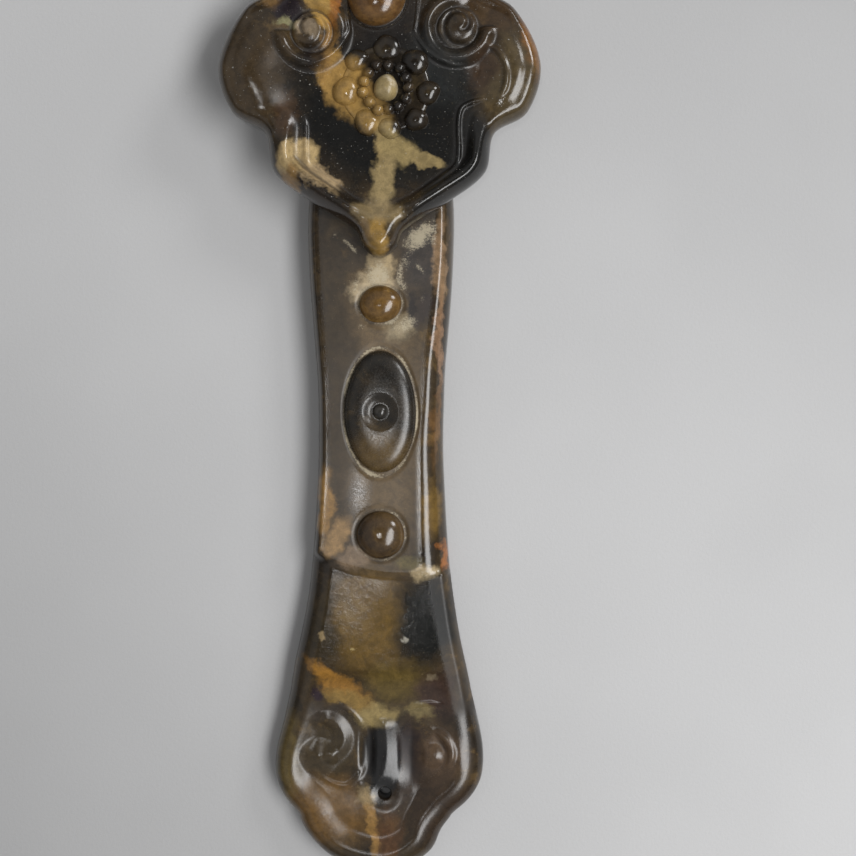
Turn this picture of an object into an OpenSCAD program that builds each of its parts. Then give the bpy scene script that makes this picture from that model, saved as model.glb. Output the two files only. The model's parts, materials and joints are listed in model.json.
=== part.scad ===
// Ruyi scepter in mottled stone: a waisted flat-backed shaft with a scrolled tail,
// a cloud-shaped head seated on its upper end, and set bosses on both.
// +X is across the face, +Y runs from the tail to the crown, +Z is up out of the face.

/* [Overall] */
// Length from the tip of the tail to the crown of the head
total_length = 206; // [196:1:216]
// Height of the shaft's raised panel above the flat back
panel_z = 9.5; // [8.5:0.1:11]
// Clearance round each set piece
seat_gap = 0.1; // [0.05:0.01:0.2]

/* [Shaft outline] */
// Width where the shaft comes out from under the head
neck_w = 32.2; // [30:0.1:35]
// Width at the waist
waist_w = 27.5; // [25:0.1:30]
// Width below the panel
calf_w = 30.9; // [29:0.1:33]
// Width where the flare begins to open
flare_w = 38.2; // [36:0.1:40]
// Width across the two lobes of the tail
tail_w = 45.9; // [43:0.1:49]
// Radius of each lobe of the tail
tail_lobe_r = 12.5; // [11:0.1:14]
// Radius of the rounded end of the tail
tail_tip_r = 17; // [15:0.1:19]
// Distance from the tip up to the widest part of the tail
tail_lobe_up = 23.7; // [22:0.1:26]
// Distance from the tip up to the start of the flare
flare_up = 41; // [38:0.5:44]
// Distance from the tip up to the calf
calf_up = 63.4; // [58:0.5:68]
// Distance from the tip up to the waist
waist_up = 99.4; // [92:0.5:106]
// Distance from the tip up to the neck
neck_up = 143.3; // [138:0.5:150]

/* [Shaft section] */
// Height at which the rounded side is widest
side_z = 3.2; // [2.6:0.1:4]
// Radius of the eased lower edge
back_round = 1.4; // [0.8:0.1:2]
// Width of the polished bevel beside the top of the panel
bevel_top_w = 3.4; // [2.8:0.1:4]
// Width of the polished bevel beside the foot of the panel
bevel_foot_w = 4.8; // [4:0.1:5.4]
// Height of the panel's edge above the bevel
panel_step = 0.7; // [0.4:0.1:1.2]
// Height of the domed stretch below the panel
dome_z = 9.2; // [8.4:0.1:10]
// Width of that stretch's rounded sides
dome_round = 8; // [6.5:0.5:10]

/* [Tail relief] */
// Sideways offset of the carved tail, which follows the hand work
tail_relief_x = 0.9; // [-1:0.1:1.5]
// Height of the sunk ground inside the rim
tail_ground_z = 6.2; // [5.6:0.1:7]
// Height of the polished rim crest
tail_crest_z = 7.5; // [7:0.1:8.4]
// Distance of the rim crest in from the outline
crest_in = 3.3; // [2.8:0.1:4]
// Distance from the volutes' centres to the centre line of the relief
volute_x = 11.6; // [11:0.1:12.4]
// Distance from the tip up to the volutes' centres
volute_up = 27.6; // [26.5:0.1:29]
// Radius at which a volute's spiral begins
volute_r = 9.8; // [9:0.1:10.4]
// Radius at which it ends
volute_end_r = 5.2; // [4.8:0.1:5.8]
// Radius of the volute's inner arm
volute_arm_r = 4.2; // [3.8:0.1:4.6]
// Half the thickness of a volute's ridge
volute_ridge = 0.9; // [0.7:0.05:1.1]
// Radius of the comma bead inside a volute
comma_r = 2.2; // [1.8:0.1:2.6]
// Radius of the cord hole
hole_r = 1.3; // [1:0.05:1.6]
// Distance from the tip up to the cord hole
hole_up = 17.2; // [15:0.1:19]
// Radius of the flat land round the cord hole
hole_land_r = 2.3; // [2:0.1:2.8]
// Height of that land, which is the length of the hole
hole_land_z = 6; // [5.4:0.1:6.4]

/* [Set pieces on the shaft] */
// Gap between the head's tip and the upper bead
tip_gap = 5.4; // [4:0.1:7]
// Width of the upper bead
upper_bead_w = 9.3; // [8:0.1:10]
// Length of the upper bead
upper_bead_l = 8.4; // [8:0.1:10]
// Rise of the upper bead above the panel
upper_bead_h = 2.6; // [2:0.1:3.4]
// Gap between the upper bead and the medallion
upper_gap = 5.5; // [4:0.1:7]
// Width of the medallion
medallion_w = 15.8; // [14:0.1:17]
// Length of the medallion
medallion_l = 27.4; // [25:0.1:30]
// Rise of the medallion above the panel
medallion_h = 2.3; // [1.8:0.1:3]
// Radius of the stud in the medallion
stud_r = 1.75; // [1.4:0.05:2]
// Rise of the stud above its sunk ring
stud_h = 1.5; // [1:0.1:2]
// Outer radius of the sunk ring round the stud
stud_ring_r = 3.5; // [3:0.1:4]
// Depth of the sunk ring
stud_ring_h = 0.8; // [0.5:0.1:1]
// Gap between the medallion and the lower bead
lower_gap = 7.6; // [6:0.1:9]
// Width of the lower bead
lower_bead_w = 10.7; // [9:0.1:12]
// Rise of the lower bead above the panel
lower_bead_h = 3; // [2.4:0.1:3.8]
// Gap between the lower bead and the foot of the panel
foot_gap = 3.4; // [2.6:0.1:4.2]
// Depth of the seats under the set pieces of the shaft
shaft_seat = 1.4; // [1:0.1:2]

/* [Head outline] */
// Length of the head from its tip to its crown
head_length = 72.1; // [70:0.5:76]
// Width across the two side lobes
head_w = 69.2; // [66:0.1:73]
// Distance from the head's tip up to the widest part of the side lobes
head_lobe_up = 41.6; // [40:0.1:43]
// Width at the necks below the side lobes
head_neck_w = 49.4; // [47:0.1:51]
// Distance from the tip up to the necks
head_neck_up = 26.8; // [26:0.1:28]
// Width across the lower shoulders
head_shoulder_w = 45.4; // [43:0.1:46.5]
// Distance from the tip up to the lower shoulders
head_shoulder_up = 18.5; // [17.5:0.1:19.5]
// Width at the notches under the crown
head_notch_w = 43; // [41:0.1:45]
// Distance from the tip up to the notches
head_notch_up = 58.4; // [57.5:0.1:59.5]
// Width of the crown lobe
crown_w = 41.4; // [39:0.1:43]
// Inset of the crown's rounded corner
crown_corner = 8.4; // [7:0.1:10]
// Width of the knob at the head's tip
head_knob_w = 6.6; // [6:0.1:8]

/* [Head section] */
// Thickness of the head from its seat on the shaft to its rim crest
head_t = 8; // [7:0.1:9]
// Height of the widest line of the head's side above the seat
head_side_h = 3; // [2.4:0.1:3.6]
// Inset of the eased lower edge of the head
head_under = 2; // [1.4:0.1:2.6]
// Distance of the polished crest in from the outline
head_crest_in = 3.2; // [2.8:0.1:3.8]
// Drop from the crest to the sunk ground
head_sink = 1.7; // [1.2:0.1:2.2]
// Width of the slope from the crest down to the ground
head_slope_w = 2.6; // [2:0.1:3.2]
// Distance of the crest in from the outline of a side lobe, which is a fuller roll
lobe_crest_in = 6.6; // [5.8:0.1:7.4]
// Swell of a side lobe above the crest
lobe_swell = 0.5; // [0.2:0.1:0.9]

/* [Head relief] */
// Sideways offset of the carved head relief, which follows the hand work
head_relief_x = 0.6; // [-1:0.1:1.5]
// Distance of the scroll bosses from the relief's centre line
scroll_x = 15.6; // [15:0.1:16]
// Distance from the head's tip up to the scroll bosses
scroll_up = 48; // [47:0.1:49]
// Radius of a scroll boss
scroll_boss_r = 3.4; // [3:0.1:3.8]
// Radius at which the roll round the boss begins
scroll_r = 6.6; // [6.4:0.1:6.8]
// Radius at which it ends
scroll_end_r = 5.6; // [5.4:0.1:5.8]
// Half the thickness of the roll
scroll_roll = 1.5; // [1.2:0.05:1.7]
// Radius of the thin line round the roll
scroll_line_r = 9.4; // [9:0.1:9.8]
// Half the thickness of that line, the side curl and the lip
fine_ridge = 0.6; // [0.5:0.05:0.8]
// Distance of the side curls from the relief's centre line
curl_x = 20.6; // [20:0.1:21.4]
// Distance from the head's tip up to the side curls
curl_up = 38.5; // [37.5:0.1:39.5]
// Radius of a side curl
curl_r = 5.6; // [5:0.1:6]
// Height of the side curl's root above the ground, on the inner slope of the lobe
curl_rise = 0.9; // [0.5:0.1:1.2]
// Distance of the shoulder hooks from the relief's centre line
hook_x = 19.6; // [19:0.1:20]
// Distance from the head's tip up to the shoulder hooks
hook_up = 29.4; // [28.6:0.1:30]
// Radius of a shoulder hook
hook_r = 3.6; // [3.2:0.1:4]
// Distance of the lip in from the shoulder's outline
lip_in = 6.2; // [6:0.1:6.8]
// Radius of the crown boss
crown_boss_r = 6.3; // [5.6:0.1:7]
// Rise of the crown boss above the ground
crown_boss_h = 3.6; // [3:0.1:4.2]
// Gap between the flower's petals and the crown boss
crown_gap = 1.6; // [1:0.1:2.4]
// Sideways place of the crown boss
crown_boss_x = -0.6; // [-1.5:0.1:1.5]

/* [Flower] */
// Sideways place of the flower
flower_x = 1.4; // [0:0.1:2]
// Distance from the head's tip up to the flower
flower_up = 35.7; // [34.5:0.1:36.5]
// Number of petals
petal_count = 8; // [6:1:9]
// Radius of one round petal
petal_r = 3; // [2.6:0.1:3.1]
// Rise of a petal above the flower's disc
petal_h = 1.9; // [1.4:0.1:2.4]
// Radius of the circle of petal centres
petal_ring_r = 8.6; // [8.2:0.1:9]
// Radius of the flower's disc
disc_r = 9.6; // [9:0.1:10]
// Rise of the disc above the head's ground
disc_h = 0.5; // [0.3:0.1:0.8]
// Number of stamen beads
stamen_count = 13; // [10:1:14]
// Radius of one stamen bead
stamen_r = 1; // [0.8:0.05:1.05]
// Radius of the ring of stamen beads
stamen_ring_r = 4.5; // [4.3:0.1:4.6]
// Radius of the bead at the flower's centre
flower_bead_r = 2.6; // [2.2:0.1:2.9]
// Rise of that bead above the disc
flower_bead_h = 2.4; // [1.8:0.1:3]
// Depth of the seats under the set pieces of the head
head_seat = 1; // [0.8:0.1:1.4]

/* [Tenon] */
// Radius of the hidden tenon that holds the head
tenon_r = 3; // [2.5:0.1:3.6]
// Depth of the tenon in the shaft
tenon_in_shaft = 5.5; // [4.5:0.1:6.5]
// Depth of the tenon in the head
tenon_in_head = 3.6; // [3:0.1:4]
// Distance of the shaft's hidden upper end below the crown
shaft_end_down = 15; // [12:0.5:18]
// Width of the shaft's hidden upper end
shaft_end_w = 24; // [20:0.5:28]

/* [Hidden] */
$fn = 64;
// Overlap that carries a cut past the face it opens
over = 1;
// Columns across the shaft, and the share of them set by a sine to crowd the edges
columns = 30;
crowding = 0.45;
// Spacing of the shaft's stations in the tail, along the shaft and under the head
tail_pitch = 1.25;
shaft_pitch = 3.8;
hidden_pitch = 9;
// Half-width left flat at the very tip, where the first station stands
tip_flat = 1.5;
// Points on each stretch of the head's outline
head_steps = 5;
// Slope from the tail's crest to its ground
tail_slope_w = 2.4;
// Stem above the cord hole: rise of its middle over the hole, half-length, half-width, height
stem_rise = 9.5;
stem_l = 8.5;
stem_w = 2;
stem_h = 0.9;
// Hollow on each side of the stem: place, half-width, depth
hollow_x = 3.7;
hollow_w = 2.6;
hollow_h = 1.9;
// Swell of the low end: place, radius, height
low_swell_up = 9;
low_swell_r = 13;
low_swell_h = 0.7;
// Drop from the dome to the tail, and the step at the panel's foot: bow and width of each
drop_bow = 2;
drop_w = 3;
foot_bow = 3;
foot_w = 2;
// Turn between the rings of an oval dome, and its sides
oval_turn = 15;
oval_sides = 44;
// Sides of the petals, and of the small beads and bosses
petal_sides = 40;
bead_sides = 20;
// Turn between the points of a ridge's spiral, and depth of its root
ridge_turn = 12;
ridge_root = 1.8;

tip_y = -total_length / 2;
crown_y = total_length / 2;
head_tip_y = crown_y - head_length;
// Places down the panel, each from the piece above it
upper_bead_y = head_tip_y - tip_gap - upper_bead_l / 2;
medallion_y = upper_bead_y - upper_bead_l / 2 - upper_gap - medallion_l / 2;
lower_bead_y = medallion_y - medallion_l / 2 - lower_gap - lower_bead_w / 2;
panel_foot_y = lower_bead_y - lower_bead_w / 2 - foot_gap;
crown_boss_y = head_tip_y + flower_up + petal_ring_r + petal_r + crown_gap + crown_boss_r;
shaft_end_y = crown_y - shaft_end_down;
tail_lobe_y = tip_y + tail_lobe_up;
tail_top_y = tip_y + volute_up + volute_r;
head_z = panel_z;
ground_z = head_z + head_t - head_sink;
head_centre = [0, head_tip_y + flower_up];

function clamp(v) = min(1, max(0, v));
function ease(v) = let (c = clamp(v)) c * c * (3 - 2 * c);
function mix(a, b, f) = a + (b - a) * f;
// Quarter ellipse that rises from 0 to 1
function roll(v) = let (c = 1 - clamp(v)) sqrt(1 - c * c);
// Height of a rounded bump of half-width r at distance d from its line
function bump(d, r) = abs(d) >= r ? 0 : pow(cos(90 * d / r), 2);

// Smooth curve through points, with tangents taken over the neighbours' chord lengths
function chord(p, i) = norm(p[i + 1] - p[i]);
function tangent(p, i, first, last) = i == 0 ? first
    : i == len(p) - 1 ? last
    : (p[i + 1] - p[i - 1]) / (chord(p, i) + chord(p, i - 1));
function hermite(a, b, ta, tb, h, t) = (2 * pow(t, 3) - 3 * t * t + 1) * a
    + (pow(t, 3) - 2 * t * t + t) * h * ta
    + (3 * t * t - 2 * pow(t, 3)) * b
    + (pow(t, 3) - t * t) * h * tb;
function curve(p, first, last, steps) = [
    for (i = [0 : len(p) - 2], k = [0 : steps - 1])
        hermite(p[i], p[i + 1], tangent(p, i, first, last), tangent(p, i + 1, first, last),
            chord(p, i), k / steps)
];

function segment_distance(q, a, b) = let (
        ab = b - a,
        t = clamp((q - a) * ab / (ab * ab))
    ) norm(q - a - t * ab);
function outline_distance(q, line) =
    min([for (i = [0 : len(line) - 2]) segment_distance(q, line[i], line[i + 1])]);

// Half-width of the shaft along its length
width_knots = [
    [tail_lobe_y, tail_w / 2],
    [tip_y + flare_up, flare_w / 2],
    [tip_y + calf_up, calf_w / 2],
    [tip_y + waist_up, waist_w / 2],
    [tip_y + neck_up, neck_w / 2],
    [shaft_end_y, shaft_end_w / 2]
];
function knot_slope(k, i) = i == 0 || i == len(k) - 1 ? 0
    : (k[i + 1][1] - k[i - 1][1]) / (k[i + 1][0] - k[i - 1][0]);
function knot_value(k, y, i = 0) = i < len(k) - 2 && y > k[i + 1][0] ? knot_value(k, y, i + 1)
    : let (h = k[i + 1][0] - k[i][0])
        hermite(k[i][1], k[i + 1][1], knot_slope(k, i), knot_slope(k, i + 1), h,
            clamp((y - k[i][0]) / h));
function arc_half(y, centre_y, r) = sqrt(max(0, r * r - pow(y - centre_y, 2)));
function lobe_half(y) = abs(y - tail_lobe_y) >= tail_lobe_r ? 0
    : tail_w / 2 - tail_lobe_r + arc_half(y, tail_lobe_y, tail_lobe_r);
function tip_half(y) = arc_half(y, tip_y + tail_tip_r, tail_tip_r);
// Rounded greater of two values, which fillets the hollow between the lobe and the tip
function soft_max(a, b, r) = max(a, b) + pow(max(0, r - abs(a - b)), 2) / (4 * r);
function half_width(y) = y > tail_lobe_y ? knot_value(width_knots, y)
    : max(tip_flat, soft_max(lobe_half(y), tip_half(y), 1.6));

// Stations along the shaft, closest where the relief is finest
function spread(a, b, pitch) = let (n = ceil((b - a) / pitch)) [for (i = [0 : n - 1]) a + (b - a) * i / n];
first_rows = [for (f = [0, 0.1, 0.35, 0.75]) tip_y + f];
stations = concat(
    first_rows,
    spread(tip_y + 1.4, tail_top_y + 2, tail_pitch),
    spread(tail_top_y + 2, panel_foot_y - 3, shaft_pitch),
    spread(panel_foot_y - 3, panel_foot_y + 3, 1),
    spread(panel_foot_y + 3, head_tip_y + 8, shaft_pitch),
    spread(head_tip_y + 8, shaft_end_y, hidden_pitch),
    [shaft_end_y]
);
shaft_side = [for (y = stations) [half_width(y), y]];
shaft_edge = concat([[0, tip_y]], shaft_side, [[0, shaft_end_y]]);
shares = [for (i = [0 : columns])
    let (u = 2 * i / columns - 1) (1 - crowding) * u + crowding * sin(90 * u)];

bevel = function(y) mix(bevel_foot_w, bevel_top_w,
    clamp((y - panel_foot_y) / (head_tip_y - panel_foot_y)));

// Height of the panel stretch, where d is the distance in from the outline
function panel_height(d, y) = let (b = bevel(y))
    mix(side_z, panel_z - panel_step, roll(d / b)) + panel_step * ease((d - b) / 0.6);
// Height of the domed stretch below it
function dome_height(d) = mix(side_z, dome_z, roll(d / dome_round));
// Height of the tail: rim crest, sunk ground, stem with a hollow on each side, low end
function tail_height(x, y, d) = let (
        rim = mix(side_z, tail_crest_z, roll(d / crest_in)),
        sink = (tail_crest_z - tail_ground_z) * ease((d - crest_in) / tail_slope_w),
        rx = x - tail_relief_x,
        stem_y = y - tip_y - hole_up - stem_rise,
        beside = bump(abs(rx) - hollow_x, hollow_w) * bump(stem_y, stem_l),
        stem = bump(rx, stem_w) * bump(stem_y, stem_l),
        swell = bump(norm([rx, y - tip_y - low_swell_up]), low_swell_r)
    ) rim - sink - hollow_h * beside + stem_h * stem + low_swell_h * swell;
// The tail drops from the dome along a bowed line, and the panel's foot is bowed too
function shaft_height(x, y, d) = let (
        drop_y = tail_top_y - drop_bow * ease(abs(x) / volute_x) - drop_w / 2,
        foot_y = panel_foot_y + foot_bow * pow(2 * x / calf_w, 2) - foot_w / 2,
        lower = mix(tail_height(x, y, d), dome_height(d), ease((y - drop_y) / drop_w))
    ) mix(lower, panel_height(d, y), ease((y - foot_y) / foot_w));

function section(i) = let (
        y = stations[i],
        w = shaft_side[i][0],
        before = shaft_side[max(0, i - 1)],
        after = shaft_side[min(len(stations) - 1, i + 1)],
        along = (after - before) / norm(after - before),
        normal = i == 0 ? [0, -1] : i == len(stations) - 1 ? [0, 1] : [along[1], -along[0]],
        foot_x = max(0.3, w - back_round * normal[0]),
        foot_y = y - back_round * normal[1]
    ) concat(
        [[-foot_x, foot_y, 0], [-w, y, side_z * 0.55]],
        [for (s = shares) let (x = w * s)
            [x, y, abs(s) > 0.999 ? side_z
                : shaft_height(x, y, outline_distance([abs(x), y], shaft_edge))]],
        [[w, y, side_z * 0.55], [foot_x, foot_y, 0]]
    );

module lofted(sections) {
    rows = len(sections);
    n = len(sections[0]);
    points = [for (s = sections, p = s) p];
    skin = [
        for (j = [0 : rows - 2], i = [0 : n - 1])
            let (a = j * n + i, b = j * n + (i + 1) % n, c = a + n, d = b + n)
                each [[a, d, b], [a, c, d]]
    ];
    last = (rows - 1) * n;
    ends = [
        [for (i = [1 : n - 2]) i],
        [0, 1, n - 2, n - 1],
        [for (i = [n - 2 : -1 : 1]) last + i],
        [last + n - 1, last + n - 2, last + 1, last]
    ];
    polyhedron(points, concat(skin, ends), convexity = 6);
}

// Round dome with an upright girdle, which stands in its seat
module dome(w, rise, girdle, turn = 10) {
    corner = min(0.35, girdle / 3);
    rotate_extrude()
        polygon(concat(
            [[0, -girdle], [w / 2 - corner, -girdle], [w / 2, -girdle + corner]],
            [for (a = [0 : turn : 90]) [w / 2 * cos(a), rise * sin(a)]]
        ));
}

// The same dome drawn out to an oval
module cabochon(w, l, rise, girdle) {
    resize([w, l, 0]) dome(w, rise, girdle, oval_turn, $fn = oval_sides);
}

module seat(w, l, depth) {
    scale([1, (l + 2 * seat_gap) / (w + 2 * seat_gap), 1])
        translate([0, 0, -depth])
            cylinder(d = w + 2 * seat_gap, h = depth + over, $fn = 72);
}

// Points of a spiral that runs from one radius and angle to another
function spiral(r0, r1, a0, a1) = let (n = ceil(abs(a1 - a0) / ridge_turn)) [
    for (i = [0 : n])
        let (r = mix(r0, r1, i / n), a = mix(a0, a1, i / n)) [r * cos(a), r * sin(a)]
];

// Rounded ridge along a path in the plane, thinned at both ends, with its root sunk in the ground
module ridge(path, half) {
    n = len(path);
    crown = [for (a = [0 : 45 : 180]) [cos(a), sin(a)]];
    sides = len(crown) + 2;
    ring = function(i) let (
            along = path[min(n - 1, i + 1)] - path[max(0, i - 1)],
            side = [along[1], -along[0], 0] / norm(along),
            r = half * pow(sin(180 * (i + 0.35) / (n - 0.3)), 0.4),
            at = [path[i][0], path[i][1], 0],
            root = [0, 0, -ridge_root]
        ) concat(
            [for (c = crown) at + r * (c[0] * side + [0, 0, c[1]])],
            [at - r * side + root, at + r * side + root]
        );
    polyhedron(
        [for (i = [0 : n - 1]) each ring(i)],
        concat(
            [[for (k = [sides - 1 : -1 : 0]) k]],
            [for (i = [0 : n - 2], k = [0 : sides - 1])
                let (a = i * sides + k, b = i * sides + (k + 1) % sides, c = a + sides, d = b + sides)
                    each [[a, d, c], [a, b, d]]],
            [[for (k = [0 : sides - 1]) (n - 1) * sides + k]]
        ),
        convexity = 4
    );
}

// Outer turn and inner arm of the left volute, and its comma bead
module volute() {
    ridge(spiral(volute_r, volute_end_r, 115, -240), volute_ridge);
    translate([-volute_arm_r * 0.3, volute_arm_r * 0.4, 0])
        ridge(spiral(volute_arm_r, volute_arm_r, 130, -40), volute_ridge * 1.3);
    translate([0, -volute_arm_r * 0.3, -comma_r / 3]) sphere(comma_r, $fn = bead_sides);
}

module shaft() {
    color([0.36, 0.3, 0.2])
        difference() {
            // The carved body, held to its exact width and length
            resize([tail_w, shaft_end_y - tip_y, 0]) {
                lofted([for (i = [0 : len(stations) - 1]) section(i)]);
                for (side = [0, 1])
                    translate([tail_relief_x, tip_y + volute_up, tail_ground_z])
                        mirror([side, 0, 0])
                            translate([-volute_x, 0, 0]) volute();
            }
            translate([tail_relief_x, tip_y + hole_up, -over])
                cylinder(r = hole_r, h = hole_land_z + 2 * over, $fn = 48);
            translate([tail_relief_x, tip_y + hole_up, hole_land_z])
                cylinder(r = hole_land_r, h = panel_z, $fn = 48);
            translate([0, upper_bead_y, panel_z])
                seat(upper_bead_w, upper_bead_l, shaft_seat);
            translate([0, medallion_y, panel_z])
                seat(medallion_w, medallion_l, shaft_seat);
            translate([0, lower_bead_y, panel_z])
                seat(lower_bead_w, lower_bead_w, shaft_seat);
            translate([head_centre[0], head_centre[1], panel_z])
                seat(2 * tenon_r, 2 * tenon_r, tenon_in_shaft);
        }
}

// Right half of the head's outline from its tip to its crown
head_knots = [for (p = [
        [0, 0],
        [head_knob_w / 2, 2],
        [head_knob_w / 2 + 2, 6],
        [head_shoulder_w / 2 - 7.8, 12.2],
        [head_shoulder_w / 2, head_shoulder_up],
        [head_neck_w / 2, head_neck_up],
        [head_w / 2 - 2.8, head_lobe_up - 10.2],
        [head_w / 2, head_lobe_up],
        [head_w / 2 - 5.4, head_lobe_up + 11.6],
        [head_notch_w / 2, head_notch_up],
        [crown_w / 2, head_notch_up + 5.6],
        [crown_w / 2 - crown_corner, head_length - 1.3],
        [0, head_length]
    ]) [p[0], p[1] + head_tip_y]];
head_right = concat(curve(head_knots, [1, 0], [-1, 0], head_steps), [[0, crown_y]]);
head_line = concat(head_right, [for (i = [len(head_right) - 2 : -1 : 1]) [-head_right[i][0], head_right[i][1]]]);
head_closed = concat(head_line, [head_line[0]]);
// Rings of the head's face, as distances in from the outline at a mean radius
ring_mean_r = 32;
// Centre of a side lobe in from its outline, how far its fuller roll reaches, and its fade
lobe_centre_in = 8;
lobe_reach = 12;
lobe_fade = 6;
// Distance over which the ground rises to the rim at the head's tip
tip_merge = 6.5;
ring_in = [0.3, 0.9, 1.7, 2.5, 3.3, 4.2, 5.1, 6, 7.2, 8.8, 11, 14, 18.5, 25];

function head_height(q) = let (
        d = outline_distance(q, head_closed),
        lobe = norm([abs(q[0]) - head_w / 2 + lobe_centre_in, q[1] - head_tip_y - head_lobe_up]),
        crest = mix(head_crest_in, lobe_crest_in, ease((lobe_reach - lobe) / lobe_fade)),
        rim = mix(head_side_h, head_t, roll(d / crest)),
        merge = ease((q[1] - head_tip_y) / tip_merge - 1),
        sink = head_sink * merge * ease((d - crest) / head_slope_w)
    ) head_z + rim - sink + lobe_swell * bump(lobe, lobe_reach);

module head_body() {
    n = len(head_line);
    towards = function(f) [for (p = head_line) head_centre + (p - head_centre) * f];
    under = towards(1 - head_under / ring_mean_r);
    rings = concat(
        [[for (p = under) [p[0], p[1], head_z]]],
        [[for (p = head_line) [p[0], p[1], head_z + head_side_h * 0.6]]],
        [[for (p = head_line) [p[0], p[1], head_z + head_side_h]]],
        [for (in = ring_in) [for (p = towards(1 - in / ring_mean_r)) [p[0], p[1], head_height(p)]]]
    );
    top = len(rings) * n;
    points = concat([for (r = rings, p = r) p],
        [[head_centre[0], head_centre[1], head_height(head_centre)]]);
    faces = concat(
        [[for (i = [0 : n - 1]) i]],
        [for (j = [0 : len(rings) - 2], i = [0 : n - 1])
            let (a = j * n + i, b = j * n + (i + 1) % n, c = a + n, d = b + n)
                each [[a, c, d], [a, d, b]]],
        [for (i = [0 : n - 1]) [top - n + i, top, top - n + (i + 1) % n]]
    );
    polyhedron(points, faces, convexity = 6);
}

// Points of a straight run, with its end left to the next one
function run(a, b, n) = [for (i = [0 : n - 1]) mix(a, b, i / n)];

// The shoulder's hook and the lip that runs from it down to the head's tip
lip_corner = [head_shoulder_w / 2 - lip_in, head_shoulder_up + 1];
lip_end = [head_knob_w / 2 + 2.4, head_shoulder_up - 6.4];
lip_path = concat(
    [for (p = spiral(hook_r, hook_r, 60, 180)) p + [hook_x, hook_up]],
    run([hook_x - hook_r, hook_up - 2], lip_corner, 4),
    run(lip_corner, lip_end, 6),
    [lip_end]
);

// Boss with its roll and thin line, side curl and lip of one side, drawn for the right side
module head_scrolls() {
    translate([scroll_x, scroll_up, 0]) {
        ridge(spiral(scroll_r, scroll_end_r, 110, 380), scroll_roll);
        ridge(spiral(scroll_line_r, scroll_line_r, 150, 290), fine_ridge);
        translate([0, 0, -scroll_boss_r / 3]) sphere(scroll_boss_r, $fn = bead_sides);
    }
    translate([curl_x, curl_up, curl_rise]) ridge(spiral(curl_r, curl_r, -75, 75), fine_ridge);
    ridge(lip_path, fine_ridge);
}

module head() {
    color([0.28, 0.24, 0.17])
        difference() {
            // The carved body, held to its exact width and length
            resize([head_w, head_length, 0]) {
                head_body();
                for (side = [0, 1])
                    translate([head_relief_x, head_tip_y, ground_z])
                        mirror([side, 0, 0]) head_scrolls();
            }
            translate([flower_x, head_tip_y + flower_up, ground_z])
                seat(2 * disc_r, 2 * disc_r, head_seat);
            translate([crown_boss_x, crown_boss_y, ground_z])
                seat(2 * crown_boss_r, 2 * crown_boss_r, head_seat);
            translate([head_centre[0], head_centre[1], head_z - over])
                cylinder(r = tenon_r + seat_gap, h = tenon_in_head + over, $fn = 72);
        }
}

module head_tenon() {
    color([0.45, 0.4, 0.3])
        translate([head_centre[0], head_centre[1], panel_z - tenon_in_shaft])
            cylinder(r = tenon_r, h = tenon_in_shaft + tenon_in_head - seat_gap);
}

module upper_bead() {
    color([0.62, 0.4, 0.14])
        translate([0, upper_bead_y, panel_z])
            cabochon(upper_bead_w, upper_bead_l, upper_bead_h, shaft_seat);
}

// Depth of the stud's blind seat below the panel
stud_seat = shaft_seat / 2;

module medallion() {
    color([0.2, 0.17, 0.13])
        translate([0, medallion_y, panel_z])
            difference() {
                cabochon(medallion_w, medallion_l, medallion_h, shaft_seat);
                translate([0, 0, medallion_h - stud_ring_h]) cylinder(r = stud_ring_r, h = over + stud_ring_h);
                translate([0, 0, -stud_seat])
                    cylinder(r = stud_r + seat_gap, h = stud_seat + medallion_h + over);
            }
}

module medallion_stud() {
    color([0.25, 0.23, 0.2])
        translate([0, medallion_y, panel_z + medallion_h - stud_ring_h])
            dome(2 * stud_r, stud_h, stud_seat + medallion_h - stud_ring_h);
}

module lower_bead() {
    color([0.36, 0.24, 0.12])
        translate([0, lower_bead_y, panel_z])
            dome(lower_bead_w, lower_bead_h, shaft_seat);
}

module crown_boss() {
    color([0.5, 0.33, 0.15])
        translate([crown_boss_x, crown_boss_y, ground_z])
            dome(2 * crown_boss_r, crown_boss_h, head_seat);
}

// Radius of the ball whose cap is one petal
petal_ball_r = (petal_r * petal_r + petal_h * petal_h) / (2 * petal_h);

module flower_petals() {
    color([0.3, 0.24, 0.15])
        translate([flower_x, head_tip_y + flower_up, ground_z]) {
            difference() {
                translate([0, 0, -head_seat]) cylinder(r = disc_r, h = head_seat + disc_h);
                translate([0, 0, disc_h - head_seat])
                    cylinder(r = flower_bead_r + seat_gap, h = head_seat + over);
            }
            for (i = [0 : petal_count - 1])
                rotate([0, 0, 360 * (i + 0.5) / petal_count])
                    translate([petal_ring_r, 0, 0])
                        intersection() {
                            translate([0, 0, disc_h + petal_h - petal_ball_r])
                                sphere(petal_ball_r, $fn = petal_sides);
                            cylinder(r = petal_r + 1, h = disc_h + petal_h + over);
                        }
        }
}

module flower_stamens() {
    wall = 1.2;
    color([0.22, 0.17, 0.12])
        translate([flower_x, head_tip_y + flower_up, ground_z + disc_h]) {
            difference() {
                cylinder(r = stamen_ring_r + wall / 2, h = stamen_r * 0.6);
                translate([0, 0, -over])
                    cylinder(r = stamen_ring_r - wall / 2, h = stamen_r + 2 * over);
            }
            for (i = [0 : stamen_count - 1])
                rotate([0, 0, 360 * i / stamen_count])
                    translate([stamen_ring_r, 0, stamen_r]) sphere(stamen_r, $fn = bead_sides);
        }
}

module flower_bead() {
    color([0.75, 0.66, 0.5])
        translate([flower_x, head_tip_y + flower_up, ground_z + disc_h])
            dome(2 * flower_bead_r, flower_bead_h, head_seat);
}

shaft();
head();
head_tenon();
upper_bead();
medallion();
medallion_stud();
lower_bead();
crown_boss();
flower_petals();
flower_stamens();
flower_bead();
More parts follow.
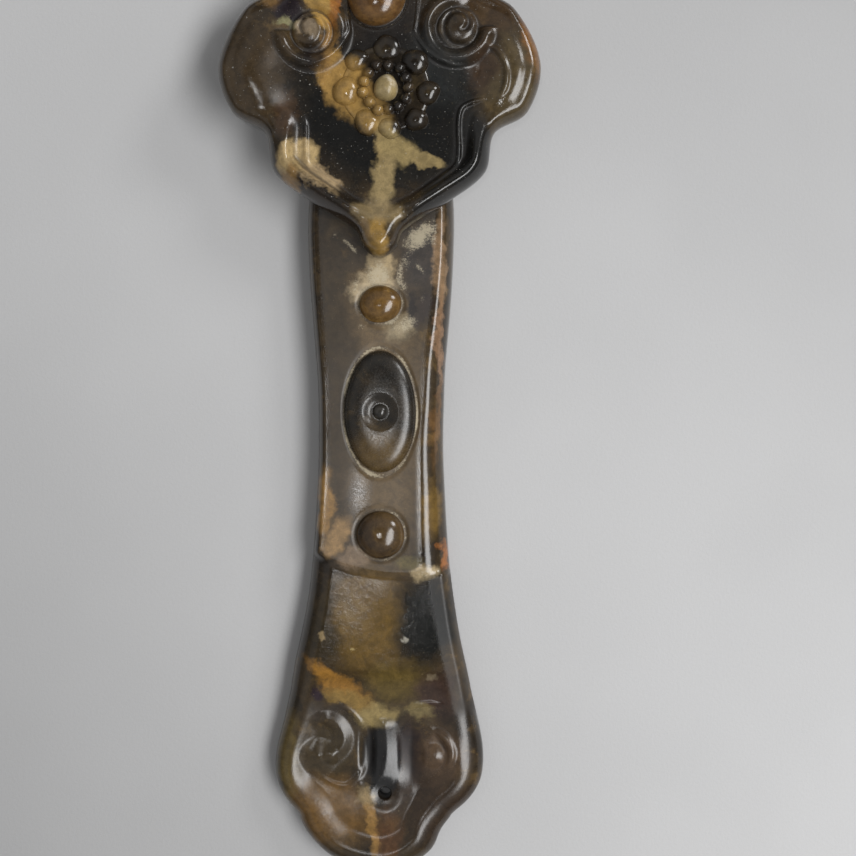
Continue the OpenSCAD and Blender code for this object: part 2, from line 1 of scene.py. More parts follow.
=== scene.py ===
import json
import math
import bpy
import numpy as np
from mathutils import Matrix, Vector

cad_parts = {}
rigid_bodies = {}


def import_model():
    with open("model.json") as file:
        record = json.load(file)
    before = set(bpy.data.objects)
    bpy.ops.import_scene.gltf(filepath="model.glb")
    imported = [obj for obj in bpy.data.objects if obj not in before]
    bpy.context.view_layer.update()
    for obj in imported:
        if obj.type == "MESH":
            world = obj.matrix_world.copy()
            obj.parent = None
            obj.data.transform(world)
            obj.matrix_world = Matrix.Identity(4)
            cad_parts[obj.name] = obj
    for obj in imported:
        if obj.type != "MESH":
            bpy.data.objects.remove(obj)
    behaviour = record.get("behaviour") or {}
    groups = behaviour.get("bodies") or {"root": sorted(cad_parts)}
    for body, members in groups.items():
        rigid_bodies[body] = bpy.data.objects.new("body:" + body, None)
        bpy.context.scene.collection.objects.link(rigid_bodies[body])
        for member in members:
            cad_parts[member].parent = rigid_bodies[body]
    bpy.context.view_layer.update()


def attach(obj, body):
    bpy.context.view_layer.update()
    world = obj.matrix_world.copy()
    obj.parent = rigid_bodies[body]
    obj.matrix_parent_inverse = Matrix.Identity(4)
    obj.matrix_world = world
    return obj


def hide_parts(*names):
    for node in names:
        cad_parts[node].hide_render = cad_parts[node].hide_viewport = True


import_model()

# Lengths are in millimetres until a mesh is made: +X across the face, +Y to the crown, +Z up
whole = dict(
    length=206.0,
    panelTop=9.5,      # raised panel, on which the head is seated
)
tipY = -whole["length"] / 2
crownY = whole["length"] / 2


# Shaping helpers, all on arrays
def clamp(v):
    return np.clip(v, 0.0, 1.0)


def ease(v):
    c = clamp(v)
    return c * c * (3 - 2 * c)


def mix(a, b, f):
    return a + (b - a) * f


def roll(v):  # quarter ellipse that rises from 0 to 1
    c = 1 - clamp(v)
    return np.sqrt(np.maximum(0, 1 - c * c))


def bump(d, half):  # rounded bump, half its width each way
    return np.cos(np.clip(np.abs(d) / half, 0, 1) * math.pi / 2) ** 2


def halfArc(y, centreY, r):
    return np.sqrt(np.maximum(0, r * r - (y - centreY) ** 2))


def softMax(a, b, r):
    return np.maximum(a, b) + np.maximum(0, r - np.abs(a - b)) ** 2 / (4 * r)


def handwork(x, y, scale=1.0, seed=0.0):  # slow low waves that hand grinding leaves
    s = seed * 1.7
    v = np.sin(x * 0.37 * scale + 1.3 + s) * np.cos(y * 0.29 * scale - 0.7 + s)
    v = v + 0.4 * np.sin(x * 0.53 * scale + y * 0.31 * scale + 2.1 * s)
    return v / 1.4


def through(knots, y, slopes=None):  # smooth curve through knots of place and value
    k = np.array(sorted(knots), float)
    places, values = k[:, 0], k[:, 1]
    if slopes is None:
        slopes = np.zeros(len(k))
        slopes[1:-1] = (values[2:] - values[:-2]) / (places[2:] - places[:-2])
    i = np.clip(np.searchsorted(places, y) - 1, 0, len(k) - 2)
    h = places[i + 1] - places[i]
    t = clamp((y - places[i]) / h)
    return ((2 * t ** 3 - 3 * t * t + 1) * values[i] + (t ** 3 - 2 * t * t + t) * h * slopes[i]
            + (3 * t * t - 2 * t ** 3) * values[i + 1] + (t ** 3 - t * t) * h * slopes[i + 1])


def smoothPath(points, steps=8):  # curve through points in the plane
    p = np.array(points, float)
    n = len(p)
    out = []
    for i in range(n - 1):
        a, b, c, d = (p[min(max(k, 0), n - 1)] for k in (i - 1, i, i + 1, i + 2))
        for k in range(steps):
            t = k / steps
            out.append(0.5 * (2 * b + (c - a) * t + (2 * a - 5 * b + 4 * c - d) * t * t
                              + (3 * b - a - 3 * c + d) * t ** 3))
    out.append(p[-1])
    return np.array(out)


def pathDistance(x, y, path):  # distance to a path, and the share of it at the nearest point
    best = np.full(x.shape, 1e9)
    along = np.zeros(x.shape)
    n = len(path) - 1
    for i in range(n):
        ax, ay = path[i]
        bx, by = path[i + 1] - path[i]
        t = clamp(((x - ax) * bx + (y - ay) * by) / (bx * bx + by * by + 1e-12))
        d = (x - ax - t * bx) ** 2 + (y - ay - t * by) ** 2
        nearer = d < best
        best = np.where(nearer, d, best)
        along = np.where(nearer, (i + t) / n, along)
    return np.sqrt(best), along


def stroke(x, y, points, half, rise, fadeIn=0.15, fadeOut=0.15):
    # Raised line along a path, or a groove where rise is below 0; it thins at its ends
    path = smoothPath(points)
    near = ((x > path[:, 0].min() - half) & (x < path[:, 0].max() + half)
            & (y > path[:, 1].min() - half) & (y < path[:, 1].max() + half))
    out = np.zeros(x.shape)
    if near.any():
        d, t = pathDistance(x[near], y[near], path)
        taper = ease(t / fadeIn) * ease((1 - t) / fadeOut)
        width = half * (0.5 + 0.5 * taper)
        out[near] = rise * taper * bump(d, width)
    return out


# Outline of the shaft
shaft = dict(
    neckW=32.2, waistW=27.5, calfW=30.9, flareW=38.2, tailW=45.9, endW=24.0,
    neckUp=143.3, waistUp=99.4, calfUp=63.4, flareUp=41.0, lobeUp=23.7, endDown=15.0,
    lobeR=12.5, tipR=17.0,
    sideZ=3.2,          # height of the widest line of the rounded side
    backRound=1.4,
    bevelTop=3.3, bevelFoot=6.2, leftBevel=1.9,
    panelFootY=-37.5, panelStep=0.014, leftStep=0.035, stepW=1.4, panelHollow=0.12,
    domeZ=9.2, domeRound=5.0, rightRound=0.5, domeCrown=0.25, domeReach=17,
    groundZ=6.2, crestZ=7.6, crestIn=3.6, crestMore=1.5, rimFallW=4.6,
    reliefX=0.9, holeUp=17.2, holeR=1.3, landR=4.2,
    endCapY=0.02,       # the first row stands this far inside the tip
)
panelFootY = shaft["panelFootY"]
shaftEndY = crownY - shaft["endDown"]
headTipY = 30.9
lobeY = tipY + shaft["lobeUp"]


def halfWidth(y):
    upper = through([
        (lobeY, shaft["tailW"] / 2), (tipY + shaft["flareUp"], shaft["flareW"] / 2),
        (tipY + shaft["calfUp"], shaft["calfW"] / 2), (tipY + shaft["waistUp"], shaft["waistW"] / 2),
        (tipY + shaft["neckUp"], shaft["neckW"] / 2), (shaftEndY, shaft["endW"] / 2)], y)
    r = shaft["lobeR"]
    lobe = np.where(np.abs(y - lobeY) < r, shaft["tailW"] / 2 - r + halfArc(y, lobeY, r), 0)
    low = np.maximum(0.6, softMax(lobe, halfArc(y, tipY + shaft["tipR"], shaft["tipR"]), 1.6))
    return np.where(y > lobeY, upper, low)


# The cut sides stray from the symmetric outline, most of all in the tail
leftStray = [(-103, 0.2), (-100.3, 1.3), (-97.2, 1.5), (-91.8, 1.8), (-88, 1.0), (-85.4, 0.8), (-80.8, 0.5),
             (-77, 0.35), (-71.5, 0.2), (-64.2, 0.6), (-57, 0.9), (-48, 0.5), (-30, 0.1), (0, 0), (90, 0)]
rightStray = [(-103, 0), (-99, -0.2), (-94.3, -1.6), (-90.7, -0.7), (-87.4, -0.6), (-83.2, -0.4),
              (-79.7, -0.4), (-72.6, 0), (-64.2, 0.4), (-57, 0.4), (-48, 0.2), (-30, 0), (0, 0), (90, 0)]


def leftEdge(y):
    return halfWidth(y) + through(leftStray, y) + 0.06 * handwork(y, y * 0, 0.8, 1.0)


def rightEdge(y):
    return halfWidth(y) + through(rightStray, y) + 0.06 * handwork(y, y * 0, 0.8, 4.0)


def panelFootAt(x):  # the panel's foot is a shallow arc
    return panelFootY - 0.12 * x + 0.0125 * x * x


def rightShare(x):  # 0 on the left of the panel, 1 on its right
    return ease((x + 6) / 12)


def bevelWidth(x, y):  # narrow on the left, where the edge is worn soft
    s = shaft
    b = mix(s["bevelFoot"], s["bevelTop"], clamp((y - panelFootY) / (headTipY - panelFootY)))
    return mix(s["leftBevel"], b, rightShare(x))


def panelHeight(d, x, y):
    s = shaft
    b = bevelWidth(x, y)
    step = mix(s["leftStep"], s["panelStep"], rightShare(x))
    return mix(s["sideZ"], whole["panelTop"] - step, roll(d / b)) + step * ease((d - b) / s["stepW"])


def domeHeight(x, d):
    s = shaft
    wide = s["domeRound"] * mix(1.0, s["rightRound"], ease((x + 4) / 8))
    shoulder = mix(s["sideZ"], s["domeZ"] - s["domeCrown"], roll(d / wide))
    return shoulder + s["domeCrown"] * ease(d / s["domeReach"])


# Carved lines of the tail
tail = dict(
    leftLine=[(-15.4, -66.6), (-12.1, -65.4), (-9.4, -65.8), (-6.9, -67.1), (-4.6, -69.6), (-3.2, -72.9),
              (-2.8, -76.2), (-3.2, -79.4), (-5.0, -82.2), (-7.8, -84.0), (-11.4, -83.0), (-15.0, -80.0),
              (-16.4, -77.4)],
    leftArm=[(-15.0, -70.9), (-12.2, -69.3), (-9.8, -70.2), (-8.3, -72.8), (-8.7, -75.2), (-10.4, -77.0)],
    leftComma=(-12.0, -77.6),
    rightTop=[(5.4, -66.8), (8.2, -65.9), (11.4, -65.6), (14.8, -66.2)],
    rightArm=[(9.6, -71.2), (12.4, -72.0), (14.4, -73.8), (15.4, -76.4), (14.8, -79.2), (13.0, -81.4)],
    rightComma=(12.6, -77.4),
    stem=[(0.6, -69.6), (1.0, -73.5), (1.0, -77.5), (0.2, -81.2), (-1.6, -84.6)],
    middleY=-77.0,
    # Low domes: place, radius, rise
    domes=[(0.9, -94.0, 13, 0.7), (-10.5, -76.5, 8, 0.2), (12.4, -77.2, 7.0, 0.8)],
    # Lines: key, half width, rise, share of the length over which each end thins
    lines=[("leftLine", 0.9, 0.22, 0.25, 0.35), ("rightTop", 0.9, 0.3, 0.4, 0.4),
           ("rightArm", 1.5, 0.6, 0.35, 0.35)],
    leftHollow=(3.7, 2.3, 1.3), rightHollow=(5.8, 3.0, 1.3),
    stemRise=(0.85, 0.6), stemHalf=(2.9, 3.8), armRise=0.8, armHalf=2.4,
    # Commas: offset of the peak from the place above, radius, roundness of the peak, rise
    leftCone=(1.6, 4.4, 0.6, 1.25), rightCone=(0.9, 2.9, 0.5, 0.8),
    softCorner=(-14, -92, 11),
)


def tailBase(x, y, d):  # a wide rolled rim that falls to the ground inside it
    s = shaft
    crestIn = s["crestIn"] + s["crestMore"] * ease(x / 10)
    z = mix(s["sideZ"], s["crestZ"], roll(d / crestIn))
    into = (d - crestIn) / s["rimFallW"]
    cx, cy, r = tail["softCorner"]
    fall = (s["crestZ"] - s["groundZ"]) * (1 - 0.7 * bump(np.hypot(x - cx, y - cy), r))
    return z - fall * mix(ease(into), clamp(into), 0.2)


def roof(away, half, ridge):  # ridge or cone with straight flanks and a slightly round top
    return clamp(1 - np.hypot(away, ridge) / half)


def comma(x, y, place, cone):
    shift, r, ridge, rise = cone
    return rise * roof(np.hypot(x - place[0] + shift, y - place[1]), r, ridge)


def tailRelief(x, y):
    t = tail
    rx = x - shaft["reliefX"]
    ry = y - t["middleY"]
    z = sum(rise * bump(np.hypot(x - cx, y - cy), r) for cx, cy, r, rise in t["domes"])
    # Hollows beside the stem
    out, half, depth = t["leftHollow"]
    z = z - depth * bump(rx + out, half) * bump(ry, 9.0)
    out, half, depth = t["rightHollow"]
    z = z - depth * roof(rx - out, half, 0.15) * bump(ry, 10.5)
    # The stem is a low roof with flat sides, which widens towards the hole
    away, along = pathDistance(x, y, smoothPath(t["stem"], 20))
    z = z + mix(*t["stemRise"], along) * roof(away, mix(*t["stemHalf"], along), 0.25) * ease((-68.0 - y) / 3)
    away, along = pathDistance(x, y, smoothPath(t["leftArm"], 16))
    z = z + t["armRise"] * roof(away, t["armHalf"], 0.3) * ease(along / 0.25)
    for key, half, rise, fadeIn, fadeOut in t["lines"]:
        z = z + stroke(x, y, t[key], half, rise, fadeIn, fadeOut)
    return z + comma(x, y, t["leftComma"], t["leftCone"]) + comma(x, y, t["rightComma"], t["rightCone"])


def beadDistance(bead, x, y):  # distance from a set bead's edge
    r = np.hypot(x / (bead["w"] / 2), (y - bead["y"]) / (bead["l"] / 2))
    return (r - 1) * math.sqrt(bead["w"] * bead["l"]) / 2


def shaftHeight(x, y, d):
    s = shaft
    z = mix(tailBase(x, y, d), domeHeight(x, d), ease((y + 78) / 20))
    z = z + tailRelief(x, y) * ease((-62.5 - y) / 3)
    h = np.hypot(x - s["reliefX"], y - (tipY + s["holeUp"]))
    land = np.minimum(z, s["groundZ"] - 0.05)  # flat land round the cord hole
    z = mix(z, land, ease((s["landR"] - h) / 3.2))
    foot = panelFootAt(x)
    z = mix(z, panelHeight(d, x, y), ease((y - foot + 1) / 2))
    # The panel is a little hollow between its edge and the set pieces
    onPanel = ease((y - foot - 0.5) / 2)
    z = z - onPanel * s["panelHollow"] * ease((d - 4.5) / 6) * ease((x + 1) / 6)
    for bead in (upperBead, medallion, lowerBead):
        z = z - 0.22 * bump(beadDistance(bead, x, y) - 0.25, 0.8) * onPanel
    return z + 0.05 * handwork(x, y, 1.0, 2.0) * ease(d / 2)


# Pieces set in the shaft
upperBead = dict(y=tipY + 124.3, w=9.3, l=8.4, rise=2.6, seat=1.3)
medallion = dict(y=tipY + 100.9, w=15.8, l=27.4, rise=2.3, seat=1.3)
stud = dict(r=1.75, rise=1.5, seat=1.8, ringDepth=0.8)
lowerBead = dict(y=tipY + 74.2, w=10.7, l=10.7, rise=3.0, seat=1.3)


def spaced(stretches):  # places along a line, each stretch with its own pitch
    out = []
    for a, b, pitch in stretches:
        n = max(1, int(math.ceil((b - a) / pitch)))
        out += [a + (b - a) * i / n for i in range(n)]
    return np.array(out + [stretches[-1][1]])


def nearlyFlat(z, passes=6):  # the same heights smoothed along rows and columns
    out = z.copy()
    for _ in range(passes):
        out[1:-1, 1:-1] = (out[:-2, 1:-1] + out[2:, 1:-1] + out[1:-1, :-2] + out[1:-1, 2:]) / 4
    return out


def putMesh(name, points, faces, flat=None, fields=None):
    mesh = bpy.data.meshes.new(name)
    mesh.from_pydata((np.asarray(points) * 0.001).tolist(), [], faces)
    smooth = np.ones(len(mesh.polygons), dtype=bool)
    if flat is not None:
        smooth[flat] = False
    mesh.polygons.foreach_set("use_smooth", smooth)
    for key, values in (fields or {}).items():
        layer = mesh.attributes.new(key, "FLOAT", "POINT")
        layer.data.foreach_set("value", np.asarray(values, dtype=np.float32))
    mesh.update()
    piece = bpy.data.objects.new(name, mesh)
    bpy.context.scene.collection.objects.link(piece)
    return piece


def loopFaces(rows, n):  # faces between closed loops of n points
    faces = []
    for j in range(rows - 1):
        a = j * n
        for i in range(n):
            k = (i + 1) % n
            faces.append((a + i, a + k, a + n + k, a + n + i))
    return faces


def drilled(piece, x, y, r):  # a round hole with a small chamfer at each end
    n = 48
    a = np.linspace(0, 2 * math.pi, n, endpoint=False)
    levels = ((-1.0, r + 0.9), (0.35, r), (shaft["groundZ"] - 0.5, r), (shaft["groundZ"] + 1.0, r + 0.6))
    points = [(x + w * math.cos(t), y + w * math.sin(t), z) for z, w in levels for t in a]
    faces = loopFaces(len(levels), n) + [tuple(range(n))[::-1], tuple(range(3 * n, 4 * n))]
    cutter = putMesh("drill", points, faces)
    cut = piece.modifiers.new("hole", "BOOLEAN")
    cut.operation = "DIFFERENCE"
    cut.solver = "EXACT"
    cut.object = cutter
    done = bpy.data.meshes.new_from_object(piece.evaluated_get(bpy.context.evaluated_depsgraph_get()))
    piece.modifiers.clear()
    piece.data = done
    bpy.data.objects.remove(cutter)
    return piece


# Wear and dust on the shaft's face
shaftWear = dict(
    polishKept=(-4.6, -19.5, 3.4, 8.5),   # one stretch of the panel has kept its polish
    dullStrip=(7.3, -76.5, 2.8, 6.5),     # floor of the recess right of the stem
    tailMatte=0.35, hollowGain=5.0,
    # Pale dust beside the head's tip and round the upper bead: place, half sizes, turn, strength
    dust=[
        (8.8, 36.2, 7.6, 3.8, 42, 1.15), (4.2, 28.4, 1.6, 4.6, -8, 0.95), (8.6, 29.0, 3.4, 1.3, -50, 0.8),
        (-9.6, 36.6, 1.0, 4.5, -35, 0.6), (5.6, 31.0, 2.4, 4.4, -20, 0.8), (11.0, 36.0, 2.4, 4.0, 0, 0.85),
        (-6.4, 33.8, 4.8, 0.9, -45, 1.0), (-0.4, 27.6, 4.6, 6.0, 0, 1.0), (-5.6, 24.8, 1.6, 4.6, -20, 0.8),
        (4.6, 25.6, 2.0, 4.2, 25, 0.85), (5.4, 17.0, 5.0, 2.8, 30, 0.95), (9.4, 21.6, 1.2, 5.5, 10, 0.6),
        (-3.6, 16.6, 3.6, 1.4, 15, 0.6), (10.6, 12.0, 1.0, 7.0, 0, 0.55), (9.6, -37.2, 3.0, 1.6, 0, 0.7),
        (-6.0, -34.0, 4.5, 1.6, 10, 0.5), (7.6, -13.0, 1.8, 3.0, -30, 0.55)],
)


def turned(x, y, cx, cy, rx, ry, turn=0):  # distance from a turned ellipse's middle, 1 at its edge
    c, k = math.cos(math.radians(turn)), math.sin(math.radians(turn))
    ux, uy = (x - cx) * c + (y - cy) * k, (y - cy) * c - (x - cx) * k
    return np.hypot(ux / rx, uy / ry)


def shaftFields(x, y, z, d):
    w = shaftWear
    foot = panelFootAt(x)
    panel = ease((y - foot) / 1.5) * ease((d - bevelWidth(x, y) - 0.2) / 1.2)
    matte = np.maximum(panel, w["tailMatte"] * ease((-64 - y) / 3))
    matte = matte * (1 - 0.85 * bump(turned(x, y, *w["polishKept"]), 1.3))
    hollow = clamp((nearlyFlat(z) - z) * w["hollowGain"])
    worn = 0.8 * ease((foot - y) / 2) * ease((y + 70) / 5) * ease((5.5 - d) / 2) * ease((x + 2) / 6)
    worn = np.maximum(worn, bump(turned(x, y, *w["dullStrip"]), 1.4))
    grit = np.zeros(x.shape)
    for bead, share, wide in ((upperBead, 0.75, 1.2), (medallion, 0.9, 0.9), (lowerBead, 0.7, 0.9)):
        ring = share * bump(beadDistance(bead, x, y) - 0.15, wide)
        grit = np.maximum(grit, ring * (1 + 0.3 * handwork(x, y, 1.6, 3.0)))
    h = np.hypot(x - shaft["reliefX"] + 0.9, y - (tipY + shaft["holeUp"]))
    grit = np.maximum(grit, 0.5 * bump(h - 2.4, 1.3) * ease((0.5 - x) / 2))
    dust = np.zeros(x.shape)
    for *ellipse, share in w["dust"]:
        dust = np.maximum(dust, share * bump(turned(x, y, *ellipse), 1.3))
    return dict(matte=matte, hollow=hollow, grit=np.maximum(grit, dust * ease(d - 3.0)), worn=worn)


def lowerEdge(edge, slope, rows, turns):  # rounded edge from the widest line down to the back
    out = []
    for a in turns:
        inset = shaft["backRound"] * (1 - math.cos(a))
        nx, ny = 1 / np.hypot(1, slope), -slope / np.hypot(1, slope)
        out.append((np.maximum(edge - inset * nx, 0.3), rows - inset * ny,
                    np.full(len(rows), shaft["sideZ"] * (1 - math.sin(a)))))
    return out


def shaftPiece():
    s = shaft
    rows = spaced([(tipY + s["endCapY"], tipY + 1, 0.12), (tipY + 1, -62, 0.3), (-62, -42, 0.6),
                   (-42, -33, 0.35), (-33, headTipY + 6, 0.6), (headTipY + 6, shaftEndY, 1.5)])
    columns = 150
    u = np.linspace(-1, 1, columns + 1)
    share = 0.6 * u + 0.4 * np.sin(u * math.pi / 2)
    left, right = leftEdge(rows), rightEdge(rows)
    x = np.where(share[None, :] < 0, share[None, :] * left[:, None], share[None, :] * right[:, None])
    y = np.repeat(rows[:, None], columns + 1, axis=1)
    fine = spaced([(tipY, -62, 0.5), (-62, shaftEndY, 2.0)])
    leftLine = np.stack([-leftEdge(fine), fine], 1)
    rightLine = np.stack([rightEdge(fine), fine], 1)
    d, _ = pathDistance(x.ravel(), y.ravel(), np.concatenate([leftLine[::-1], rightLine]))
    d = d.reshape(x.shape)
    z = shaftHeight(x, y, d)
    z[:, 0] = z[:, -1] = s["sideZ"]
    z = np.maximum(z, s["sideZ"] * 0.9)
    # Side and back of each row, from the right edge round to the left
    turns = np.radians([22, 45, 68, 90])
    below = lowerEdge(right, np.gradient(right, rows), rows, turns)
    for f in (0.97, 0.8, 0.6, 0.4, 0.2, 0, -0.2, -0.4, -0.6, -0.8, -0.97):
        w = right if f > 0 else left
        below.append((f * np.maximum(w - s["backRound"] * 1.6, 0.2), rows, np.zeros(len(rows))))
    below += [(-bx, by, bz) for bx, by, bz in lowerEdge(left, np.gradient(left, rows), rows, turns[::-1])]
    n = columns + 1 + len(below)
    points = np.zeros((len(rows), n, 3))
    points[:, :columns + 1] = np.stack([x, y, z], -1)
    for k, (bx, by, bz) in enumerate(below, columns + 1):
        points[:, k] = np.stack([bx, np.maximum(by, tipY + 0.01), bz], -1)
    faces = [tuple(reversed(f)) for f in loopFaces(len(rows), n)]
    faces.append(tuple(range(n)))
    faces.append(tuple(range((len(rows) - 1) * n, len(rows) * n))[::-1])
    fields = {key: np.pad(v, ((0, 0), (0, len(below)))).ravel() for key, v in shaftFields(x, y, z, d).items()}
    piece = putMesh("jadeShaft", points.reshape(-1, 3), faces, [len(faces) - 2, len(faces) - 1], fields)
    return drilled(piece, s["reliefX"], tipY + s["holeUp"], s["holeR"])


# Cloud-shaped head
head = dict(
    length=72.1, w=69.2, lobeUp=41.6, neckW=49.4, neckUp=26.8, shoulderW=45.4, shoulderUp=18.5,
    notchW=43.0, notchUp=58.4, crownW=41.4, knobW=6.6,
    thick=8.0, sideH=3.0, under=2.0, crestIn=3.2, sink=1.7, slopeW=2.4,
    lobeCrestIn=6.2, lobeSwell=1.3, lobeIn=8.6, lobeReach=12.5, lobeFade=6.0, tipMerge=6.5,
    centre=(0.0, 66.6),
    bosses=((16.5, 79.4), (-14.3, 78.6)), bossR=3.4,
    flower=(1.4, 66.6), crownBoss=(-0.6, 86.1),
    inside=0.02,                          # the outline stays this far inside the solid's
    leftSwell=(-32.0, 69.0, 1.1, 9.5, 1.2), rightSwell=(30.0, 69.0, 1.0, 8.0, 0.6),
    meanR=32.0,
)
headZ = whole["panelTop"]
groundZ = headZ + head["thick"] - head["sink"]


def headOutline():
    h = head
    knots = np.array([
        (0, 0), (h["knobW"] / 2, 2), (h["knobW"] / 2 + 2, 6), (h["shoulderW"] / 2 - 7.8, 12.2),
        (h["shoulderW"] / 2, h["shoulderUp"]), (h["neckW"] / 2, h["neckUp"]),
        (h["w"] / 2 - 2.8, h["lobeUp"] - 10.2), (h["w"] / 2, h["lobeUp"]),
        (h["w"] / 2 - 5.4, h["lobeUp"] + 11.6), (h["notchW"] / 2, h["notchUp"]),
        (h["crownW"] / 2, h["notchUp"] + 5.6), (h["crownW"] / 2 - 8.4, h["length"] - 1.3), (0, h["length"])],
        float)
    knots[:, 1] += headTipY
    n = len(knots)
    chords = np.linalg.norm(np.diff(knots, axis=0), axis=1)
    tangents = np.zeros((n, 2))
    tangents[0], tangents[-1] = (1, 0), (-1, 0)
    for i in range(1, n - 1):
        tangents[i] = (knots[i + 1] - knots[i - 1]) / (chords[i] + chords[i - 1])
    out = []
    for i in range(n - 1):
        steps = max(8, int(chords[i] / 0.33))
        for k in range(steps):
            t = k / steps
            out.append((2 * t ** 3 - 3 * t * t + 1) * knots[i]
                       + (t ** 3 - 2 * t * t + t) * chords[i] * tangents[i]
                       + (3 * t * t - 2 * t ** 3) * knots[i + 1]
                       + (t ** 3 - t * t) * chords[i] * tangents[i + 1])
    right = np.array(out + [knots[-1]])
    right[:, 0] *= (h["w"] / 2 - h["inside"]) / right[:, 0].max()
    right[:, 1] = headTipY + (right[:, 1] - headTipY) * (1 - h["inside"] / h["length"])
    left = right[-2:0:-1] * (-1, 1)
    return np.concatenate([right, left])


headLines = dict(
    # Lines of the right side; those of the left are mirrored with a slight shift
    lip=[(23.6, 64.5), (21.0, 64.0), (18.8, 63.3), (17.5, 62.4), (16.9, 60.4), (16.8, 57.2), (16.9, 53.5),
         (16.3, 50.4), (13.1, 47.7), (9.2, 45.0), (5.9, 42.5)],
    lipLeft=[(17.6, 61.6), (17.0, 59.4), (16.9, 57.2), (16.9, 53.5), (16.3, 50.4), (13.1, 47.7), (9.2, 45.0),
             (5.9, 42.5)],
    shoulder=[(20.9, 62.2), (20.9, 58), (20.7, 52.4), (19.3, 48.6), (16.1, 46.3), (12.9, 44.4), (9.7, 42.3),
              (6.9, 39.9), (4.6, 36.9)],
    curl=[(22.4, 76.0), (24.8, 74.6), (26.4, 72.2), (27.0, 69.4), (26.6, 66.4), (25.0, 63.8)],
    crownLine=[(8.4, 88.0), (8.1, 84.5), (7.8, 81.0), (7.5, 78.8), (8.5, 76.6), (10.3, 74.3), (12.9, 72.5),
               (16.1, 71.4), (19.2, 71.6)],
    spiral=[(19.9, 77.6), (18.0, 76.1), (15.6, 76.3), (14.0, 78.1), (13.9, 80.7), (15.4, 82.7), (17.8, 82.7),
            (19.0, 80.9), (18.3, 79.2), (16.8, 79.3)],
)


def lobeDistance(x, y):  # distance from the middle of the nearer lobe
    return np.hypot(np.abs(x) - (head["w"] / 2 - head["lobeIn"]), y - (headTipY + head["lobeUp"]))


def swell(x, y, cx, cy, narrow, r, rise):
    return rise * bump(np.hypot((x - cx) * narrow, y - cy), r)


def bossHeight(x, y, cx, cy, turn):  # a dome in a raised collar, with a spiral groove cut in it
    r = np.hypot(x - cx, y - cy)
    around = np.degrees(np.arctan2(y - cy, (x - cx) * turn)) % 360
    z = 1.7 * bump(r - 6.3, 2.6) * ease((around - 60) / 50) * ease((380 - around) / 40)
    z = z + 2.1 * roll(1 - r / (head["bossR"] + 0.9))
    path = [((px - 16.5) * turn + cx, py - 79.6 + cy) for px, py in headLines["spiral"]]
    return z + stroke(x, y, path, 1.0, -0.7)


def headHeight(x, y, d):
    h = head
    lobe = lobeDistance(x, y)
    inLobe = ease((h["lobeReach"] - lobe) / h["lobeFade"])
    lobeCrest = mix(h["lobeCrestIn"] + 1.4, h["lobeCrestIn"] - 1.2, ease(x / 20 + 0.5))
    crest = mix(h["crestIn"], lobeCrest, inLobe)
    merge = ease((y - headTipY) / h["tipMerge"] - 1)
    z = mix(h["sideH"], h["thick"], roll(d / crest))
    z = z - h["sink"] * merge * ease((d - crest) / mix(h["slopeW"], 4.5, inLobe))
    z = z + h["lobeSwell"] * bump(lobe, h["lobeReach"])
    z = z + swell(x, y, *h["leftSwell"]) + swell(x, y, *h["rightSwell"])
    # The lobes are rubbed down to soft swells
    z = mix(z, nearlyFlat(np.pad(z, ((0, 0), (40, 40)), "wrap"), 150)[:, 40:-40],
            ease((d - 1) / 3) * ease((22 - lobe) / 8))
    for mx, rim, rimRise, rimFade in ((x, "lip", 0.6, 0.15), (-x + 1.2, "lipLeft", 0.4, 0.2)):
        z = z + stroke(mx, y, headLines["shoulder"], 2.6, 0.8, 0.12, 0.2)
        z = z + stroke(mx, y, headLines[rim], 0.8, rimRise, rimFade, 0.2)
        z = z + stroke(mx, y, headLines["crownLine"], 0.6, 0.45, 0.1, 0.2)
    # The right lobe alone has a curl, with a hollow inside it
    z = z + stroke(x, y, headLines["curl"], 0.9, 0.55, 0.2, 0.2)
    z = z - 0.7 * bump(np.hypot(x - 21.4, (y - 70.2) * 0.8), 4.2)
    for (cx, cy), turn in zip(h["bosses"], (1, -1)):
        z = z + bossHeight(x, y, cx, cy, turn)
    # Knob where the two rims meet at the tip
    z = z + 0.45 * bump(np.hypot(x, y - (headTipY + 3.0)), 3.4)
    cx, cy = h["crownBoss"]
    z = z - 0.3 * bump(np.hypot(x - cx, y - cy) - 6.3, 1.0)
    return headZ + z + 0.05 * handwork(x, y, 1.0, 6.0) * ease(d / 2)


